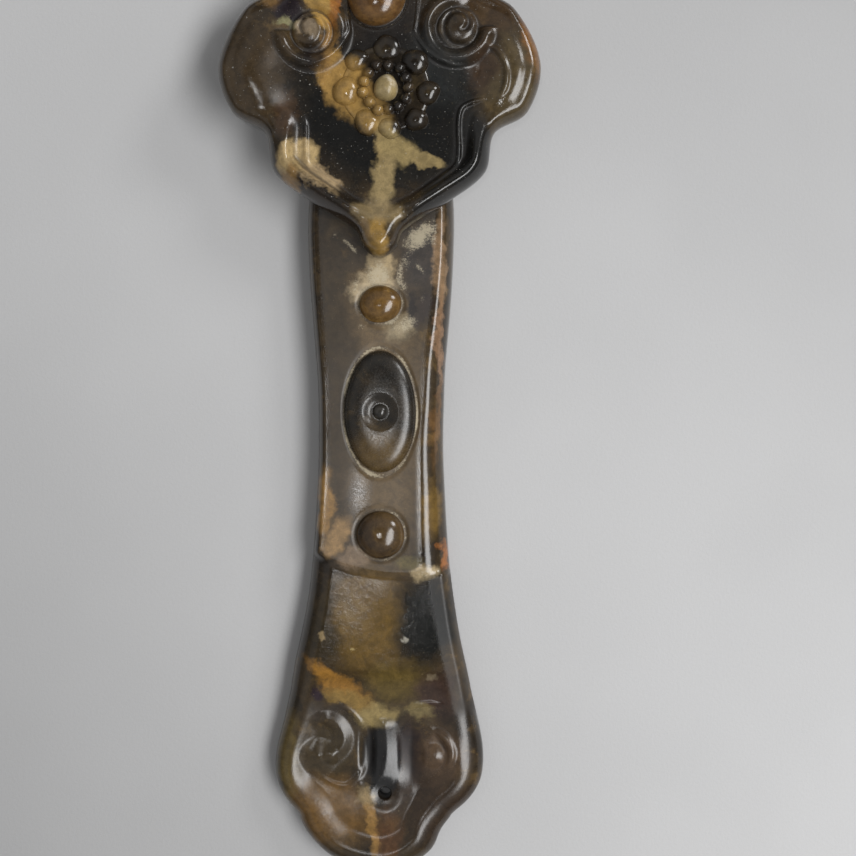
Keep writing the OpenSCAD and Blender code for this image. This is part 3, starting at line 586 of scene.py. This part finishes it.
def headPiece():
    line = headOutline()
    n = len(line)
    centre = np.array(head["centre"])
    meanR = head["meanR"]
    inward = np.concatenate([
        np.array([0.0, 0.06, 0.16, 0.3, 0.48, 0.7, 0.95, 1.22, 1.5, 1.8, 2.1, 2.4, 2.7, 3.0, 3.3]),
        np.linspace(3.6, meanR - 0.4, 92)])
    factors = 1 - inward / meanR
    xy = centre + (line - centre)[None] * factors[:, None, None]
    x, y = xy[..., 0], xy[..., 1]
    closed = np.concatenate([line[::3], line[:1]])
    d, _ = pathDistance(x.ravel(), y.ravel(), closed)
    d = d.reshape(x.shape)
    d[0] = 0
    z = headHeight(x, y, d)
    z[0] = headZ + head["sideH"]
    smoothed = nearlyFlat(np.pad(z, ((0, 0), (8, 8)), "wrap"), 8)[:, 8:-8]
    rings = []
    for a in np.radians([90, 68, 45, 22]):  # rounded lower edge
        inset = head["under"] * (1 - math.cos(a)) / meanR
        ring = centre + (line - centre) * (1 - inset)
        rings.append(np.column_stack([ring, np.full(n, headZ + head["sideH"] * (1 - math.sin(a)))]))
    back = [np.column_stack([centre + (line - centre) * f, np.full(n, headZ)])
            for f in (0.1, 0.5, 0.85, 0.92)]
    stack = np.concatenate([np.array(back + rings), np.stack([x, y, z], -1)])
    rows = len(stack)
    points = np.concatenate([stack.reshape(-1, 3), [[*centre, z[-1].mean()]]])
    faces = loopFaces(rows, n)
    top = rows * n
    faces += [(top - n + i, top - n + (i + 1) % n, top) for i in range(n)]
    faces.append(tuple(range(n))[::-1])
    lead = rows - len(z)

    def field(values):
        full = np.zeros((rows, n))
        full[lead:] = values
        return np.append(full.ravel(), values[-1].mean())
    matte = 0.3 * ease((d - head["crestIn"] - 1.2) / 2.5) * (1 - 0.7 * bump(lobeDistance(x, y), 13))
    hollow = clamp((smoothed - z) * 5.0)
    cx, cy = head["crownBoss"]
    grit = 0.5 * bump(np.hypot(x - cx, y - cy) - 6.6, 1.2)
    return putMesh("jadeHead", points, faces, [len(faces) - 1],
                   dict(matte=field(matte), hollow=field(hollow), grit=field(grit), worn=field(0 * grit)))


# Rounded pieces: a disc of rings whose height and outline come from two functions
def domePiece(name, place, w, l, rise, seat, rings=40, sectors=112, shape=None, wobble=0.012, seed=0.0):
    a = np.linspace(0, 2 * math.pi, sectors, endpoint=False)
    edge = 1 + wobble * (np.sin(2 * a + seed) + 0.7 * np.sin(3 * a + 2 * seed) + 0.4 * np.sin(5 * a - seed))
    edge = edge / edge.max()
    f = np.sin(np.linspace(math.pi / 2, 0, rings + 1))[:-1]
    fx = f[:, None] * edge * np.cos(a) * w / 2
    fy = f[:, None] * edge * np.sin(a) * l / 2
    r = np.repeat(f[:, None], sectors, axis=1)
    z = rise * np.sqrt(np.maximum(0, 1 - r * r))
    if shape:
        z = shape(fx, fy, r, z)
    z = z + 0.03 * handwork(fx, fy, 1.6, seed) * (1 - r)
    z = np.minimum(z, rise)
    low = [(0.55, -seat), (0.92, -seat), (1.0, -seat + 0.2), (1.0, -seat / 2)]
    skirt = [np.stack([edge * np.cos(a) * w / 2 * s, edge * np.sin(a) * l / 2 * s, np.full(sectors, h)], -1)
             for s, h in low]
    stack = np.concatenate([np.array(skirt), np.stack([fx, fy, z], -1)])
    rows = len(stack)
    middle = shape(np.zeros(1), np.zeros(1), np.zeros(1), np.array([rise]))[0] if shape else rise
    points = np.concatenate([stack.reshape(-1, 3), [[0, 0, min(middle, rise)]]]) + np.array(place)
    faces = loopFaces(rows, sectors)
    top = rows * sectors
    faces += [(top - sectors + i, top - sectors + (i + 1) % sectors, top) for i in range(sectors)]
    faces.append(tuple(range(sectors))[::-1])
    rim = np.zeros((rows, sectors))
    rim[:len(low)] = 0.5
    rim[len(low):] = 0.5 * ease((r - 0.96) / 0.04)
    return putMesh(name, points, faces, [len(faces) - 1], dict(grit=np.append(rim.ravel(), 0)))


def medallionShape(x, y, r, z):
    # Sunk ring of the stud with a soft collar, on a dome that falls a little towards its edge
    c = np.hypot(x, y)
    sunk = medallion["rise"] - stud["ringDepth"]
    z = medallion["rise"] * np.sqrt(np.maximum(0, 1 - r ** 4.6)) - 0.05 * ease((c - 4) / 8)
    return np.where(c < 5.0, np.minimum(z, mix(sunk, medallion["rise"] - 0.02, ease((c - 1.9) / 2.4))), z)


def beadTop(bead, name, seed):
    return domePiece(name, (0, bead["y"], whole["panelTop"]), bead["w"], bead["l"], bead["rise"],
                     bead["seat"], seed=seed)


# Flower: petals on a disc, a ring of small beads and a centre bead
flower = dict(
    discR=9.6, discH=0.5, seat=0.9,
    petals=((8.9, -0.9, 2.9), (6.4, -6.6, 2.7), (0.8, -8.4, 2.6), (-4.1, -7.2, 3.0), (-8.4, -0.6, 3.3),
            (-6.2, 6.0, 2.8), (0.2, 8.6, 3.1), (6.2, 5.6, 3.1)),
    petalRise=1.2, ringR=4.8, beads=13, beadW=2.5, beadL=2.4, beadRise=1.3, bandHalf=0.6,
    centreR=3.0, centreRise=2.3,
)


def joined(parts, name):
    bpy.ops.object.select_all(action="DESELECT")
    for p in parts:
        p.select_set(True)
    bpy.context.view_layer.objects.active = parts[0]
    bpy.ops.object.join()
    parts[0].name = name
    return parts[0]


def petalsPiece():
    f = flower
    cx, cy = head["flower"]
    parts = [domePiece("flowerPetals", (cx, cy, groundZ), 2 * f["discR"], 2 * f["discR"], f["discH"],
                       f["seat"], rings=30, sectors=120, seed=2.0,
                       shape=lambda x, y, r, z: f["discH"] * roll((1 - r) * 6))]
    for i, (px, py, r) in enumerate(f["petals"]):
        length = 2 * r * (1 + 0.04 * math.sin(i * 2.3))
        rise = f["petalRise"] + 0.5 + 0.25 * math.sin(i * 1.9)
        parts.append(domePiece("petal", (cx + px, cy + py, groundZ), 2 * r, length, rise, 0.6, rings=22,
                               sectors=48, wobble=0.05, seed=i * 1.3))
    return joined(parts, "flowerPetals")


def stamensPiece():
    f = flower
    cx, cy = head["flower"]
    base = groundZ + f["discH"]
    sectors = 104
    a = np.linspace(0, 2 * math.pi, sectors, endpoint=False)
    t = np.radians(np.linspace(0, 360, 20, endpoint=False))
    r = f["ringR"] + np.cos(t)[:, None] * f["bandHalf"] + 0.0 * a
    z = base + 0.3 + np.sin(t)[:, None] * 0.3 + 0.0 * a
    band = np.stack([cx + r * np.cos(a), cy + r * np.sin(a), z], -1)
    points = band.reshape(-1, 3)
    faces = []
    rows = len(band)
    for j in range(rows):
        for i in range(sectors):
            k, m = (i + 1) % sectors, (j + 1) % rows
            faces.append((j * sectors + i, j * sectors + k, m * sectors + k, m * sectors + i))
    parts = [putMesh("flowerStamens", points, faces, None, dict(grit=np.zeros(len(points))))]
    for i in range(f["beads"]):
        a0 = 2 * math.pi * i / f["beads"] + 0.04 * math.sin(i * 5.1)
        r0 = f["ringR"] + 0.25 * math.sin(i * 3.7)
        place = (cx + r0 * math.cos(a0), cy + r0 * math.sin(a0), base + 0.7)
        parts.append(domePiece("stamen", place, f["beadW"], f["beadL"], f["beadRise"], 0.7, rings=14,
                               sectors=26, wobble=0.02, seed=i * 0.9))
    return joined(parts, "flowerStamens")


# Materials. Signal wraps a node's output, so that sums can be written with plain operators
class Signal:
    def __init__(self, socket):
        self.socket = socket

    def out(self, name):
        return Signal(self.socket.node.outputs[name])

    def combine(self, operation, other, swapped=False):
        pair = (other, self) if swapped else (self, other)
        kinds = [v.socket.type if isinstance(v, Signal) else "" for v in pair]
        vector = "VECTOR" in kinds or "RGBA" in kinds
        tree = self.socket.id_data
        node = tree.nodes.new("ShaderNodeVectorMath" if vector else "ShaderNodeMath")
        node.operation = operation
        for i, value in enumerate(pair):
            if isinstance(value, Signal):
                tree.links.new(value.socket, node.inputs[i])
            else:
                node.inputs[i].default_value = (value,) * 3 if vector else value
        return Signal(node.outputs[0])

    def __add__(self, other):
        return self.combine("ADD", other)

    def __radd__(self, other):
        return self.combine("ADD", other, True)

    def __sub__(self, other):
        return self.combine("SUBTRACT", other)

    def __rsub__(self, other):
        return self.combine("SUBTRACT", other, True)

    def __mul__(self, other):
        return self.combine("MULTIPLY", other)

    def __rmul__(self, other):
        return self.combine("MULTIPLY", other, True)


class Sheet:  # the nodes of one material or of the room
    def __init__(self, tree, shader):
        self.tree = tree
        self.shader = tree.nodes[shader]

    def fill(self, node, sockets):
        for key, value in sockets.items():
            if isinstance(value, Signal):
                self.tree.links.new(value.socket, node.inputs[key])
            else:
                node.inputs[key].default_value = value

    def add(self, kind, settings, sockets):
        node = self.tree.nodes.new(kind)
        for key, value in settings.items():
            setattr(node, key, value)
        self.fill(node, sockets)
        return Signal(node.outputs[0])

    def set(self, name, value):
        self.fill(self.shader, {name: value})

    def ramp(self, value, low, high, a=0.0, b=1.0):
        return self.add("ShaderNodeMapRange", dict(interpolation_type="SMOOTHSTEP"),
                        {"Value": value, "From Min": low, "From Max": high, "To Min": a, "To Max": b})


class Stone(Sheet):
    def __init__(self, name):
        self.material = bpy.data.materials.new(name)
        self.material.use_nodes = True
        super().__init__(self.material.node_tree, "Principled BSDF")
        self.place = self.add("ShaderNodeTexCoord", {}, {}).out("Object") * 1000.0

    def noise(self, at, scale, detail=4.0, rough=0.5):
        look = dict(Vector=at, Scale=scale, Detail=detail, Roughness=rough)
        return self.add("ShaderNodeTexNoise", {}, look)

    def tint(self, a, b, share):
        return self.add("ShaderNodeMix", dict(data_type="RGBA"), {0: share, 6: a, 7: b}).out(2)

    def field(self, name):
        return self.add("ShaderNodeAttribute", dict(attribute_name=name), {}).out("Fac")

    def length(self, at):
        return self.add("ShaderNodeVectorMath", dict(operation="LENGTH"), {0: at}).out("Value")

    def bump(self, height, strength, distance):
        height = dict(Height=height, Strength=strength, Distance=distance)
        self.set("Normal", self.add("ShaderNodeBump", {}, height))


def tone(r, g, b):  # display colour, 0 to 255, as the shader takes it
    def one(v):
        v = v / 255
        return v / 12.92 if v <= 0.04045 else ((v + 0.055) / 1.055) ** 2.4
    return (one(r), one(g), one(b), 1.0)


def patched(stone, colour, at, patches):
    for x, y, rx, ry, turn, tint, soft, share in patches:
        local = stone.add("ShaderNodeMapping", dict(vector_type="TEXTURE"), {
            "Vector": at, "Location": (x, y, 0), "Rotation": (0, 0, math.radians(turn)),
            "Scale": (rx, ry, 400)})
        inside = stone.ramp(stone.length(local), 1 + soft, 1 - soft, 0.0, share)
        colour = stone.tint(colour, tone(*tint), inside)
    return colour


# Colour patches: place, half sizes, turn, colour, softness of the edge, strength
shaftPatches = [
    (0.1, -1.7, 8.7, 32.5, 0, (100, 82, 56), 0.5, 0.8),
    (-9.0, 6.0, 4.6, 28.0, 0, (54, 43, 27), 0.6, 0.92),
    (-0.4, 29.5, 2.8, 6.0, 0, (168, 148, 112), 0.3, 0.9),
    (-1.4, 25.0, 4.4, 2.4, 0, (172, 154, 122), 0.35, 0.85),
    (5.6, 16.6, 3.6, 2.6, 25, (150, 136, 108), 0.5, 0.7),
    (9.2, 30.2, 4.2, 7.4, -12, (52, 46, 42), 0.4, 0.92),
    (7.3, 20.4, 1.2, 2.6, 10, (36, 30, 28), 0.4, 0.95),
    (9.6, 19.6, 1.4, 3.6, -8, (48, 40, 36), 0.4, 0.9),
    (13.3, 30.4, 1.3, 10.8, -3, (142, 116, 88), 0.5, 0.85),
    (12.7, 12.7, 0.9, 9.5, -2, (140, 110, 84), 0.5, 0.8),
    (12.4, -4.0, 1.0, 8.0, 0, (112, 82, 48), 0.6, 0.7),
    (11.6, -23.4, 1.8, 5.6, 0, (112, 88, 44), 0.6, 0.85),
    (14.0, -33.6, 1.1, 3.0, 0, (150, 94, 48), 0.5, 0.9),
    (9.9, -37.3, 2.8, 2.0, 0, (164, 146, 112), 0.35, 0.9),
    (6.9, -34.4, 2.6, 1.6, 20, (96, 86, 50), 0.5, 0.7),
    (-12.0, -21.5, 1.8, 6.5, -8, (136, 104, 58), 0.35, 0.9),
    (-9.8, -29.8, 2.6, 4.0, -28, (140, 112, 74), 0.35, 0.9),
    (-5.6, -34.2, 4.0, 2.2, 15, (128, 108, 86), 0.45, 0.8),
    (-2.7, -48.6, 8.4, 10.0, 0, (98, 76, 34), 0.5, 0.95),
    (-3.5, -40.0, 6.5, 3.0, 10, (96, 76, 44), 0.5, 0.8),
    (9.9, -47.7, 5.7, 8.4, -8, (24, 25, 24), 0.4, 0.97),
    (-13.0, -50.0, 3.4, 9.0, -6, (46, 38, 24), 0.5, 0.85),
    (-13.5, -49.9, 0.7, 1.0, 0, (150, 130, 95), 0.5, 0.8),
    (-5.5, -53.3, 0.5, 0.5, 0, (170, 150, 100), 0.5, 0.8),
    (6.0, -51.6, 0.5, 0.9, 30, (190, 185, 170), 0.5, 0.7),
    (12.3, -59.2, 0.9, 0.7, 0, (140, 128, 102), 0.5, 0.7),
    (-10.0, -60.8, 7.4, 1.5, -32, (140, 100, 42), 0.5, 0.9),
    (-6.0, -65.0, 5.4, 1.8, -28, (132, 106, 56), 0.45, 0.9),
    (-0.6, -68.4, 4.6, 2.6, 0, (142, 124, 80), 0.4, 0.92),
    (3.4, -60.5, 7.0, 4.4, 10, (92, 76, 36), 0.5, 0.8),
    (12.8, -63.8, 4.4, 5.0, 0, (58, 42, 36), 0.5, 0.8),
    (8.6, -67.4, 3.0, 2.0, 0, (120, 106, 70), 0.4, 0.8),
    (0.6, -78.3, 3.6, 8.3, 0, (26, 26, 27), 0.3, 0.97),
    (7.1, -77.4, 3.4, 6.5, 0, (34, 24, 24), 0.4, 0.95),
    (-13.1, -63.3, 1.6, 1.6, 0, (40, 28, 36), 0.4, 0.95),
    (-11.0, -66.6, 4.6, 1.6, 0, (52, 44, 36), 0.4, 0.8),
    (-20.4, -78.6, 2.8, 12.0, 0, (88, 74, 40), 0.5, 0.85),
    (-11.0, -76.2, 6.6, 7.0, 0, (60, 50, 33), 0.5, 0.85),
    (-10.8, -89.4, 8.6, 6.0, -20, (100, 74, 38), 0.5, 0.9),
    (-2.2, -92.6, 1.2, 6.6, 8, (146, 112, 62), 0.45, 0.85),
    (1.6, -95.5, 2.6, 6.5, 0, (92, 62, 38), 0.5, 0.7),
    (12.0, -88.5, 8.7, 9.0, 20, (50, 38, 27), 0.45, 0.92),
    (13.5, -76.8, 4.4, 5.4, 0, (92, 72, 54), 0.6, 0.6),
    (-3.4, -86.0, 1.8, 2.2, 0, (150, 132, 100), 0.5, 0.7),
]
headPatches = [
    (1.0, 62.0, 19.5, 16.5, 0, (19, 19, 18), 0.3, 0.98),
    (1.0, 84.0, 9.0, 11.0, 0, (34, 31, 29), 0.4, 0.85),
    # painted reflection: a bluish-grey haze on the black ground right of the flower
    (13.0, 71.0, 6.0, 7.0, 20, (44, 46, 46), 0.6, 0.6),
    (-10.6, 70.5, 3.2, 5.6, 25, (156, 122, 68), 0.3, 0.95),
    (-6.6, 66.4, 4.6, 6.0, 30, (152, 120, 66), 0.3, 0.97),
    (-2.0, 60.6, 3.4, 4.2, 35, (140, 112, 64), 0.35, 0.95),
    (-10.9, 75.6, 1.6, 5.4, -12, (146, 112, 66), 0.35, 0.9),
    (0.6, 54.6, 2.0, 5.0, 0, (148, 128, 86), 0.3, 0.95),
    (3.6, 53.2, 4.2, 3.0, -20, (146, 128, 86), 0.3, 0.95),
    (9.6, 51.4, 4.6, 1.5, -14, (142, 124, 84), 0.3, 0.93),
    (1.4, 46.8, 2.6, 4.8, 0, (144, 126, 88), 0.35, 0.93),
    (0.2, 40.4, 4.6, 3.4, 0, (136, 118, 84), 0.4, 0.9),
    (0.6, 34.4, 2.4, 4.2, 0, (146, 116, 62), 0.4, 0.9),
    (-17.6, 51.6, 4.4, 3.4, 10, (176, 152, 108), 0.25, 0.98),
    (13.4, 44.6, 9.0, 3.4, 38, (25, 24, 22), 0.4, 0.93),
    (-13.4, 43.6, 8.6, 3.0, -38, (34, 28, 23), 0.4, 0.85),
    (-12.6, 47.6, 4.6, 1.9, -30, (160, 138, 104), 0.3, 0.93),
    (-19.6, 47.4, 2.6, 2.0, -30, (140, 110, 66), 0.4, 0.85),
    (-19.6, 83.9, 3.4, 3.0, 0, (32, 26, 30), 0.3, 0.96),
    (-19.8, 80.5, 2.8, 1.2, 0, (126, 122, 88), 0.3, 0.9),
    (-12.4, 84.8, 2.8, 5.2, 12, (166, 132, 72), 0.25, 0.98),
    (-9.6, 84.6, 1.2, 4.0, 0, (150, 96, 46), 0.4, 0.8),
    (-15.8, 79.3, 3.4, 1.5, -20, (134, 118, 96), 0.3, 0.9),
    (-23.0, 87.0, 2.4, 3.0, 0, (120, 92, 56), 0.5, 0.8),
    (-13.6, 73.2, 2.6, 3.2, 0, (34, 28, 26), 0.4, 0.9),
    (32.6, 76.2, 1.8, 6.4, 12, (140, 92, 42), 0.6, 0.8),
    (20.5, 52.3, 6.2, 8.5, 10, (22, 22, 21), 0.4, 0.95),
    (-27.6, 68.3, 7.4, 11.5, 0, (60, 48, 32), 0.4, 0.9),
    (28.6, 67.6, 6.0, 10.0, 0, (80, 68, 46), 0.5, 0.85),
    (22.4, 70.6, 3.6, 5.2, 0, (60, 44, 30), 0.5, 0.85),
    (-19.3, 61.4, 2.4, 4.6, 0, (66, 48, 32), 0.5, 0.8),
    (-9.0, 39.8, 7.0, 2.0, -38, (44, 35, 28), 0.4, 0.8),
    (-2.4, 36.0, 1.6, 2.6, 20, (120, 100, 72), 0.5, 0.7),
    (24.0, 84.0, 6.0, 6.0, 0, (62, 46, 30), 0.5, 0.7),
]


veinPatches = headPatches[3:9]  # the vein runs on over the flower
medallionPatches = [(0.4, -11.5, 7.0, 5.4, 0, (88, 70, 40), 0.5, 0.85)]


def stoneMaterial(name, dark, middle, light, patches=(), warp=1.0, polish=0.13, hasFields=True,
                  uneven=1.0, paintedGlints=0.0):
    dull = 0.42  # roughness where the face is matt
    stone = Stone(name)
    p = stone.place
    drift = ((stone.noise(p, 0.09, 3.0, 0.5).out("Color") - 0.5) * (7.0 * warp)
             + (stone.noise(p + 17.0, 0.4, 3.0, 0.55).out("Color") - 0.5) * (3.4 * warp)
             + (stone.noise(p + 53.0, 1.7, 3.0, 0.6).out("Color") - 0.5) * (1.1 * warp))
    q = p + drift
    cloud = stone.ramp(stone.noise(q, 0.1, 5.0, 0.62), 0.38, 0.62)
    colour = stone.tint(tone(*dark), tone(*middle), cloud)
    streaks = stone.noise(q + 31.0, 0.16, 5.0, 0.65)
    colour = stone.tint(colour, tone(*light), stone.ramp(streaks, 0.54, 0.68, 0, 0.75))
    colour = stone.tint(colour, tone(28, 24, 20), stone.ramp(streaks, 0.42, 0.32, 0, 0.6))
    colour = patched(stone, colour, q, patches)
    # Small mottling and pale flecks
    fine = stone.noise(p, 2.6, 4.0, 0.65)
    grain = stone.noise(p, 7.0, 2.0, 0.6)
    colour = stone.tint(colour, tone(158, 138, 98), stone.ramp(fine, 0.64, 0.74, 0.0, 0.35))
    shade = stone.ramp(stone.noise(p + drift * 0.5, 0.55, 5.0, 0.7), 0.3, 0.7, 0.74, 1.24)
    colour = colour * shade * stone.ramp(grain, 0.3, 0.7, 0.86, 1.14)
    rough = stone.ramp(fine, 0.3, 0.7, polish * 0.75, polish * 1.35)
    if hasFields:
        hollow = stone.field("hollow")
        matte = stone.field("matte")
        # Painted shade: the hollows of the carving are darkened towards near-black
        hollowShade = stone.ramp(hollow * (0.6 + fine * 0.8), 0.15, 1.0, 0.0, 0.6)
        colour = stone.tint(colour, tone(20, 16, 14), hollowShade)
        rough = rough + (dull - rough) * matte * stone.ramp(grain, 0.3, 0.7, 0.7, 1.0)
        rough = rough + hollow * 0.2 + stone.field("worn") * 0.42
    blotch = stone.noise(p + 71.0, 0.55, 4.0, 0.6)
    # Painted glints: small neutral pale flecks stand in for the sparkling highlights on the polished stone
    if paintedGlints:
        flecks = stone.ramp(stone.noise(p + 9.0, 1.9, 2.0, 0.75), 0.7, 0.73, 0.0, paintedGlints)
        colour = stone.tint(colour, tone(176, 174, 168), flecks)
    residue = stone.field("grit") * 0.5 + grain * 0.45 + fine * 0.5 + blotch * 0.4
    covered = stone.ramp(residue, 0.98, 1.2, 0.0, 0.8)
    colour = stone.tint(colour, tone(186, 174, 148), covered)
    rough = rough + covered * 0.35
    stone.set("Base Color", colour)
    stone.set("Roughness", rough)
    stone.set("IOR", 1.52)
    relief = stone.noise(p, 0.7, 3.0, 0.5) * (0.14 * uneven) + fine * (0.1 * uneven)
    relief = relief + grain * 0.03 + covered * 0.15
    stone.bump(relief, 0.35, 0.0004)
    return stone.material


def setStone(name, dark, middle, light, patches=(), **more):  # stone of a small set piece, worked smoother
    return stoneMaterial(name, dark, middle, light, patches, hasFields=False, uneven=0.4, **more)


materials = dict(
    shaft=stoneMaterial("shaftStone", (40, 33, 25), (62, 50, 33), (96, 76, 44), shaftPatches),
    head=stoneMaterial("headStone", (36, 30, 23), (60, 48, 32), (92, 74, 46), headPatches, paintedGlints=0.7),
    amber=setStone("amberStone", (82, 60, 30), (112, 84, 44), (144, 114, 66), warp=0.6),
    boss=setStone("bossStone", (86, 60, 32), (112, 82, 44), (134, 100, 56), warp=0.6),
    stud=setStone("studStone", (40, 38, 35), (60, 56, 50), (90, 84, 72), warp=0.6, polish=0.14),
    dark=setStone("darkStone", (30, 27, 23), (46, 39, 29), (66, 54, 36), medallionPatches, warp=0.6,
                  polish=0.24),
    brown=setStone("brownStone", (58, 44, 28), (82, 64, 40), (100, 80, 50), warp=0.6),
    petals=setStone("petalStone", (24, 20, 16), (40, 33, 24), (62, 52, 34), veinPatches, warp=0.7),
    stamens=setStone("stamenStone", (30, 26, 22), (46, 38, 30), (70, 58, 40), veinPatches, warp=0.7,
                     polish=0.12),
    cream=setStone("creamStone", (146, 128, 88), (168, 150, 112), (196, 184, 160), warp=0.5, polish=0.3),
    tenon=setStone("tenonStone", (84, 72, 54), (108, 94, 70), (130, 114, 84), polish=0.6),
)
print("materials made")


def dress(piece, node, material):
    piece.data.materials.clear()
    piece.data.materials.append(materials[material])
    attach(piece, "root")
    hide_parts(node)


dress(shaftPiece(), "shaft", "shaft")
print("shaft made")
dress(headPiece(), "head", "head")
print("head made")
dress(beadTop(upperBead, "upperBead", 0.7), "upper_bead", "amber")
dress(domePiece("medallion", (0, medallion["y"], whole["panelTop"]), medallion["w"], medallion["l"],
                medallion["rise"], medallion["seat"], rings=90, sectors=200, shape=medallionShape, seed=1.9),
      "medallion", "dark")
studZ = whole["panelTop"] + medallion["rise"] - stud["ringDepth"]
dress(domePiece("medallionStud", (0, medallion["y"], studZ), 2 * stud["r"], 2 * stud["r"], stud["rise"],
                stud["seat"], rings=26, sectors=56, seed=3.1), "medallion_stud", "stud")
dress(beadTop(lowerBead, "lowerBead", 2.4), "lower_bead", "brown")
crownBoss = dict(w=12.6, rise=3.6, seat=0.9)
dress(domePiece("crownBoss", (*head["crownBoss"], groundZ), crownBoss["w"], crownBoss["w"], crownBoss["rise"],
                crownBoss["seat"], seed=0.4), "crown_boss", "boss")
dress(petalsPiece(), "flower_petals", "petals")
dress(stamensPiece(), "flower_stamens", "stamens")
dress(domePiece("flowerBead", (*head["flower"], groundZ + flower["discH"]), 2 * flower["centreR"],
                2 * flower["centreR"], flower["centreRise"], flower["seat"], seed=5.0, wobble=0.05),
      "flower_bead", "cream")
print("set pieces made")
# The tenon is hidden in its pockets, so the solid's own mesh stays and only takes a stone
for item in bpy.data.objects:
    if item.type == "MESH" and item.name.startswith("head_tenon"):
        for slotRow in item.material_slots:
            slotRow.material = materials["tenon"]


# Floor of pale paper
floor = dict(side=900.0, cells=60, z=-0.06, roughness=0.7)


def floorPiece():
    n = floor["cells"]
    ticks = np.linspace(-floor["side"] / 2, floor["side"] / 2, n + 1)
    points = [(x, y, floor["z"]) for y in ticks for x in ticks]
    faces = [(j * (n + 1) + i, j * (n + 1) + i + 1, (j + 1) * (n + 1) + i + 1, (j + 1) * (n + 1) + i)
             for j in range(n) for i in range(n)]
    piece = putMesh("floor", points, faces)
    paper = Stone("paper")
    p = paper.place
    fibre = paper.noise(p, 1.4, 6.0, 0.7)
    colour = paper.tint(tone(183, 183, 183), tone(189, 189, 190), fibre)
    colour = colour * paper.ramp(paper.noise(p, 0.02, 2.0, 0.5), 0.3, 0.7, 0.98, 1.02)
    # Painted light falloff: the sheet is painted a little darker towards its lower left, and a painted pool
    # of light makes it lighter round the scepter
    parts = paper.add("ShaderNodeSeparateXYZ", {}, {"Vector": p})
    slope = parts * 0.0005 - parts * parts.out("Y") * 0.0000163
    colour = colour * paper.ramp(slope, -0.35, 0.35, 0.744, 1.21)
    colour = colour * paper.ramp(paper.length(p), 30.0, 120.0, 1.06, 0.99)
    paper.set("Base Color", colour)
    paper.set("Roughness", floor["roughness"])
    paper.bump(fibre, 0.3, 0.0002)
    piece.data.materials.append(paper.material)


floorPiece()
print("floor made")

# Camera straight above, a little to the right of the scepter's middle
view = dict(x=10.34, y=-5.6, z=330.0, lens=62.1, sensor=36, nearest=0.01, farthest=10)
cameraData = bpy.data.cameras.new("camera")
cameraData.lens = view["lens"]
cameraData.sensor_width = view["sensor"]
cameraData.clip_start = view["nearest"]
cameraData.clip_end = view["farthest"]
camera = bpy.data.objects.new("camera", cameraData)
camera.location = (view["x"] / 1000, view["y"] / 1000, view["z"] / 1000)
bpy.context.scene.collection.objects.link(camera)
bpy.context.scene.camera = camera

# Lights, in metres: place, width, depth of those that are ellipses, watts
lights = dict(
    window=((0.7, 0.55, 0.55), 0.3, None, 2.6),
    softBox=((0.47, -0.14, 0.84), 0.9, 0.34, 6.8),
    lamp=((-0.058, -0.056, 1.0), 0.06, 0.1, 0.6),
)
for name, (place, width, depth, power) in lights.items():
    light = bpy.data.lights.new(name, "AREA")
    light.energy = power
    light.size = width
    light.shape = "ELLIPSE" if depth else "DISK"
    if depth:
        light.size_y = depth
    stand = bpy.data.objects.new(name, light)
    stand.location = place
    stand.rotation_euler = (-Vector(place)).to_track_quat("-Z", "Y").to_euler()
    bpy.context.scene.collection.objects.link(stand)

# The room is dim straight overhead and bright all round, like a ring of soft boxes
world = bpy.data.worlds.new("room")
world.use_nodes = True
room = Sheet(world.node_tree, "Background")
direction = room.add("ShaderNodeTexCoord", {}, {}).out("Generated")
height = room.add("ShaderNodeSeparateXYZ", {}, {"Vector": direction}).out("Z")
room.set("Color", (1.0, 1.0, 1.0, 1.0))
room.set("Strength", room.ramp(height, 0.97, 0.88, 0.05, 0.38) * room.ramp(height, 0.3, 0.7, 0.35, 1.0))
bpy.context.scene.world = world
bpy.context.scene.view_settings.view_transform = "Standard"
print("room and camera made")
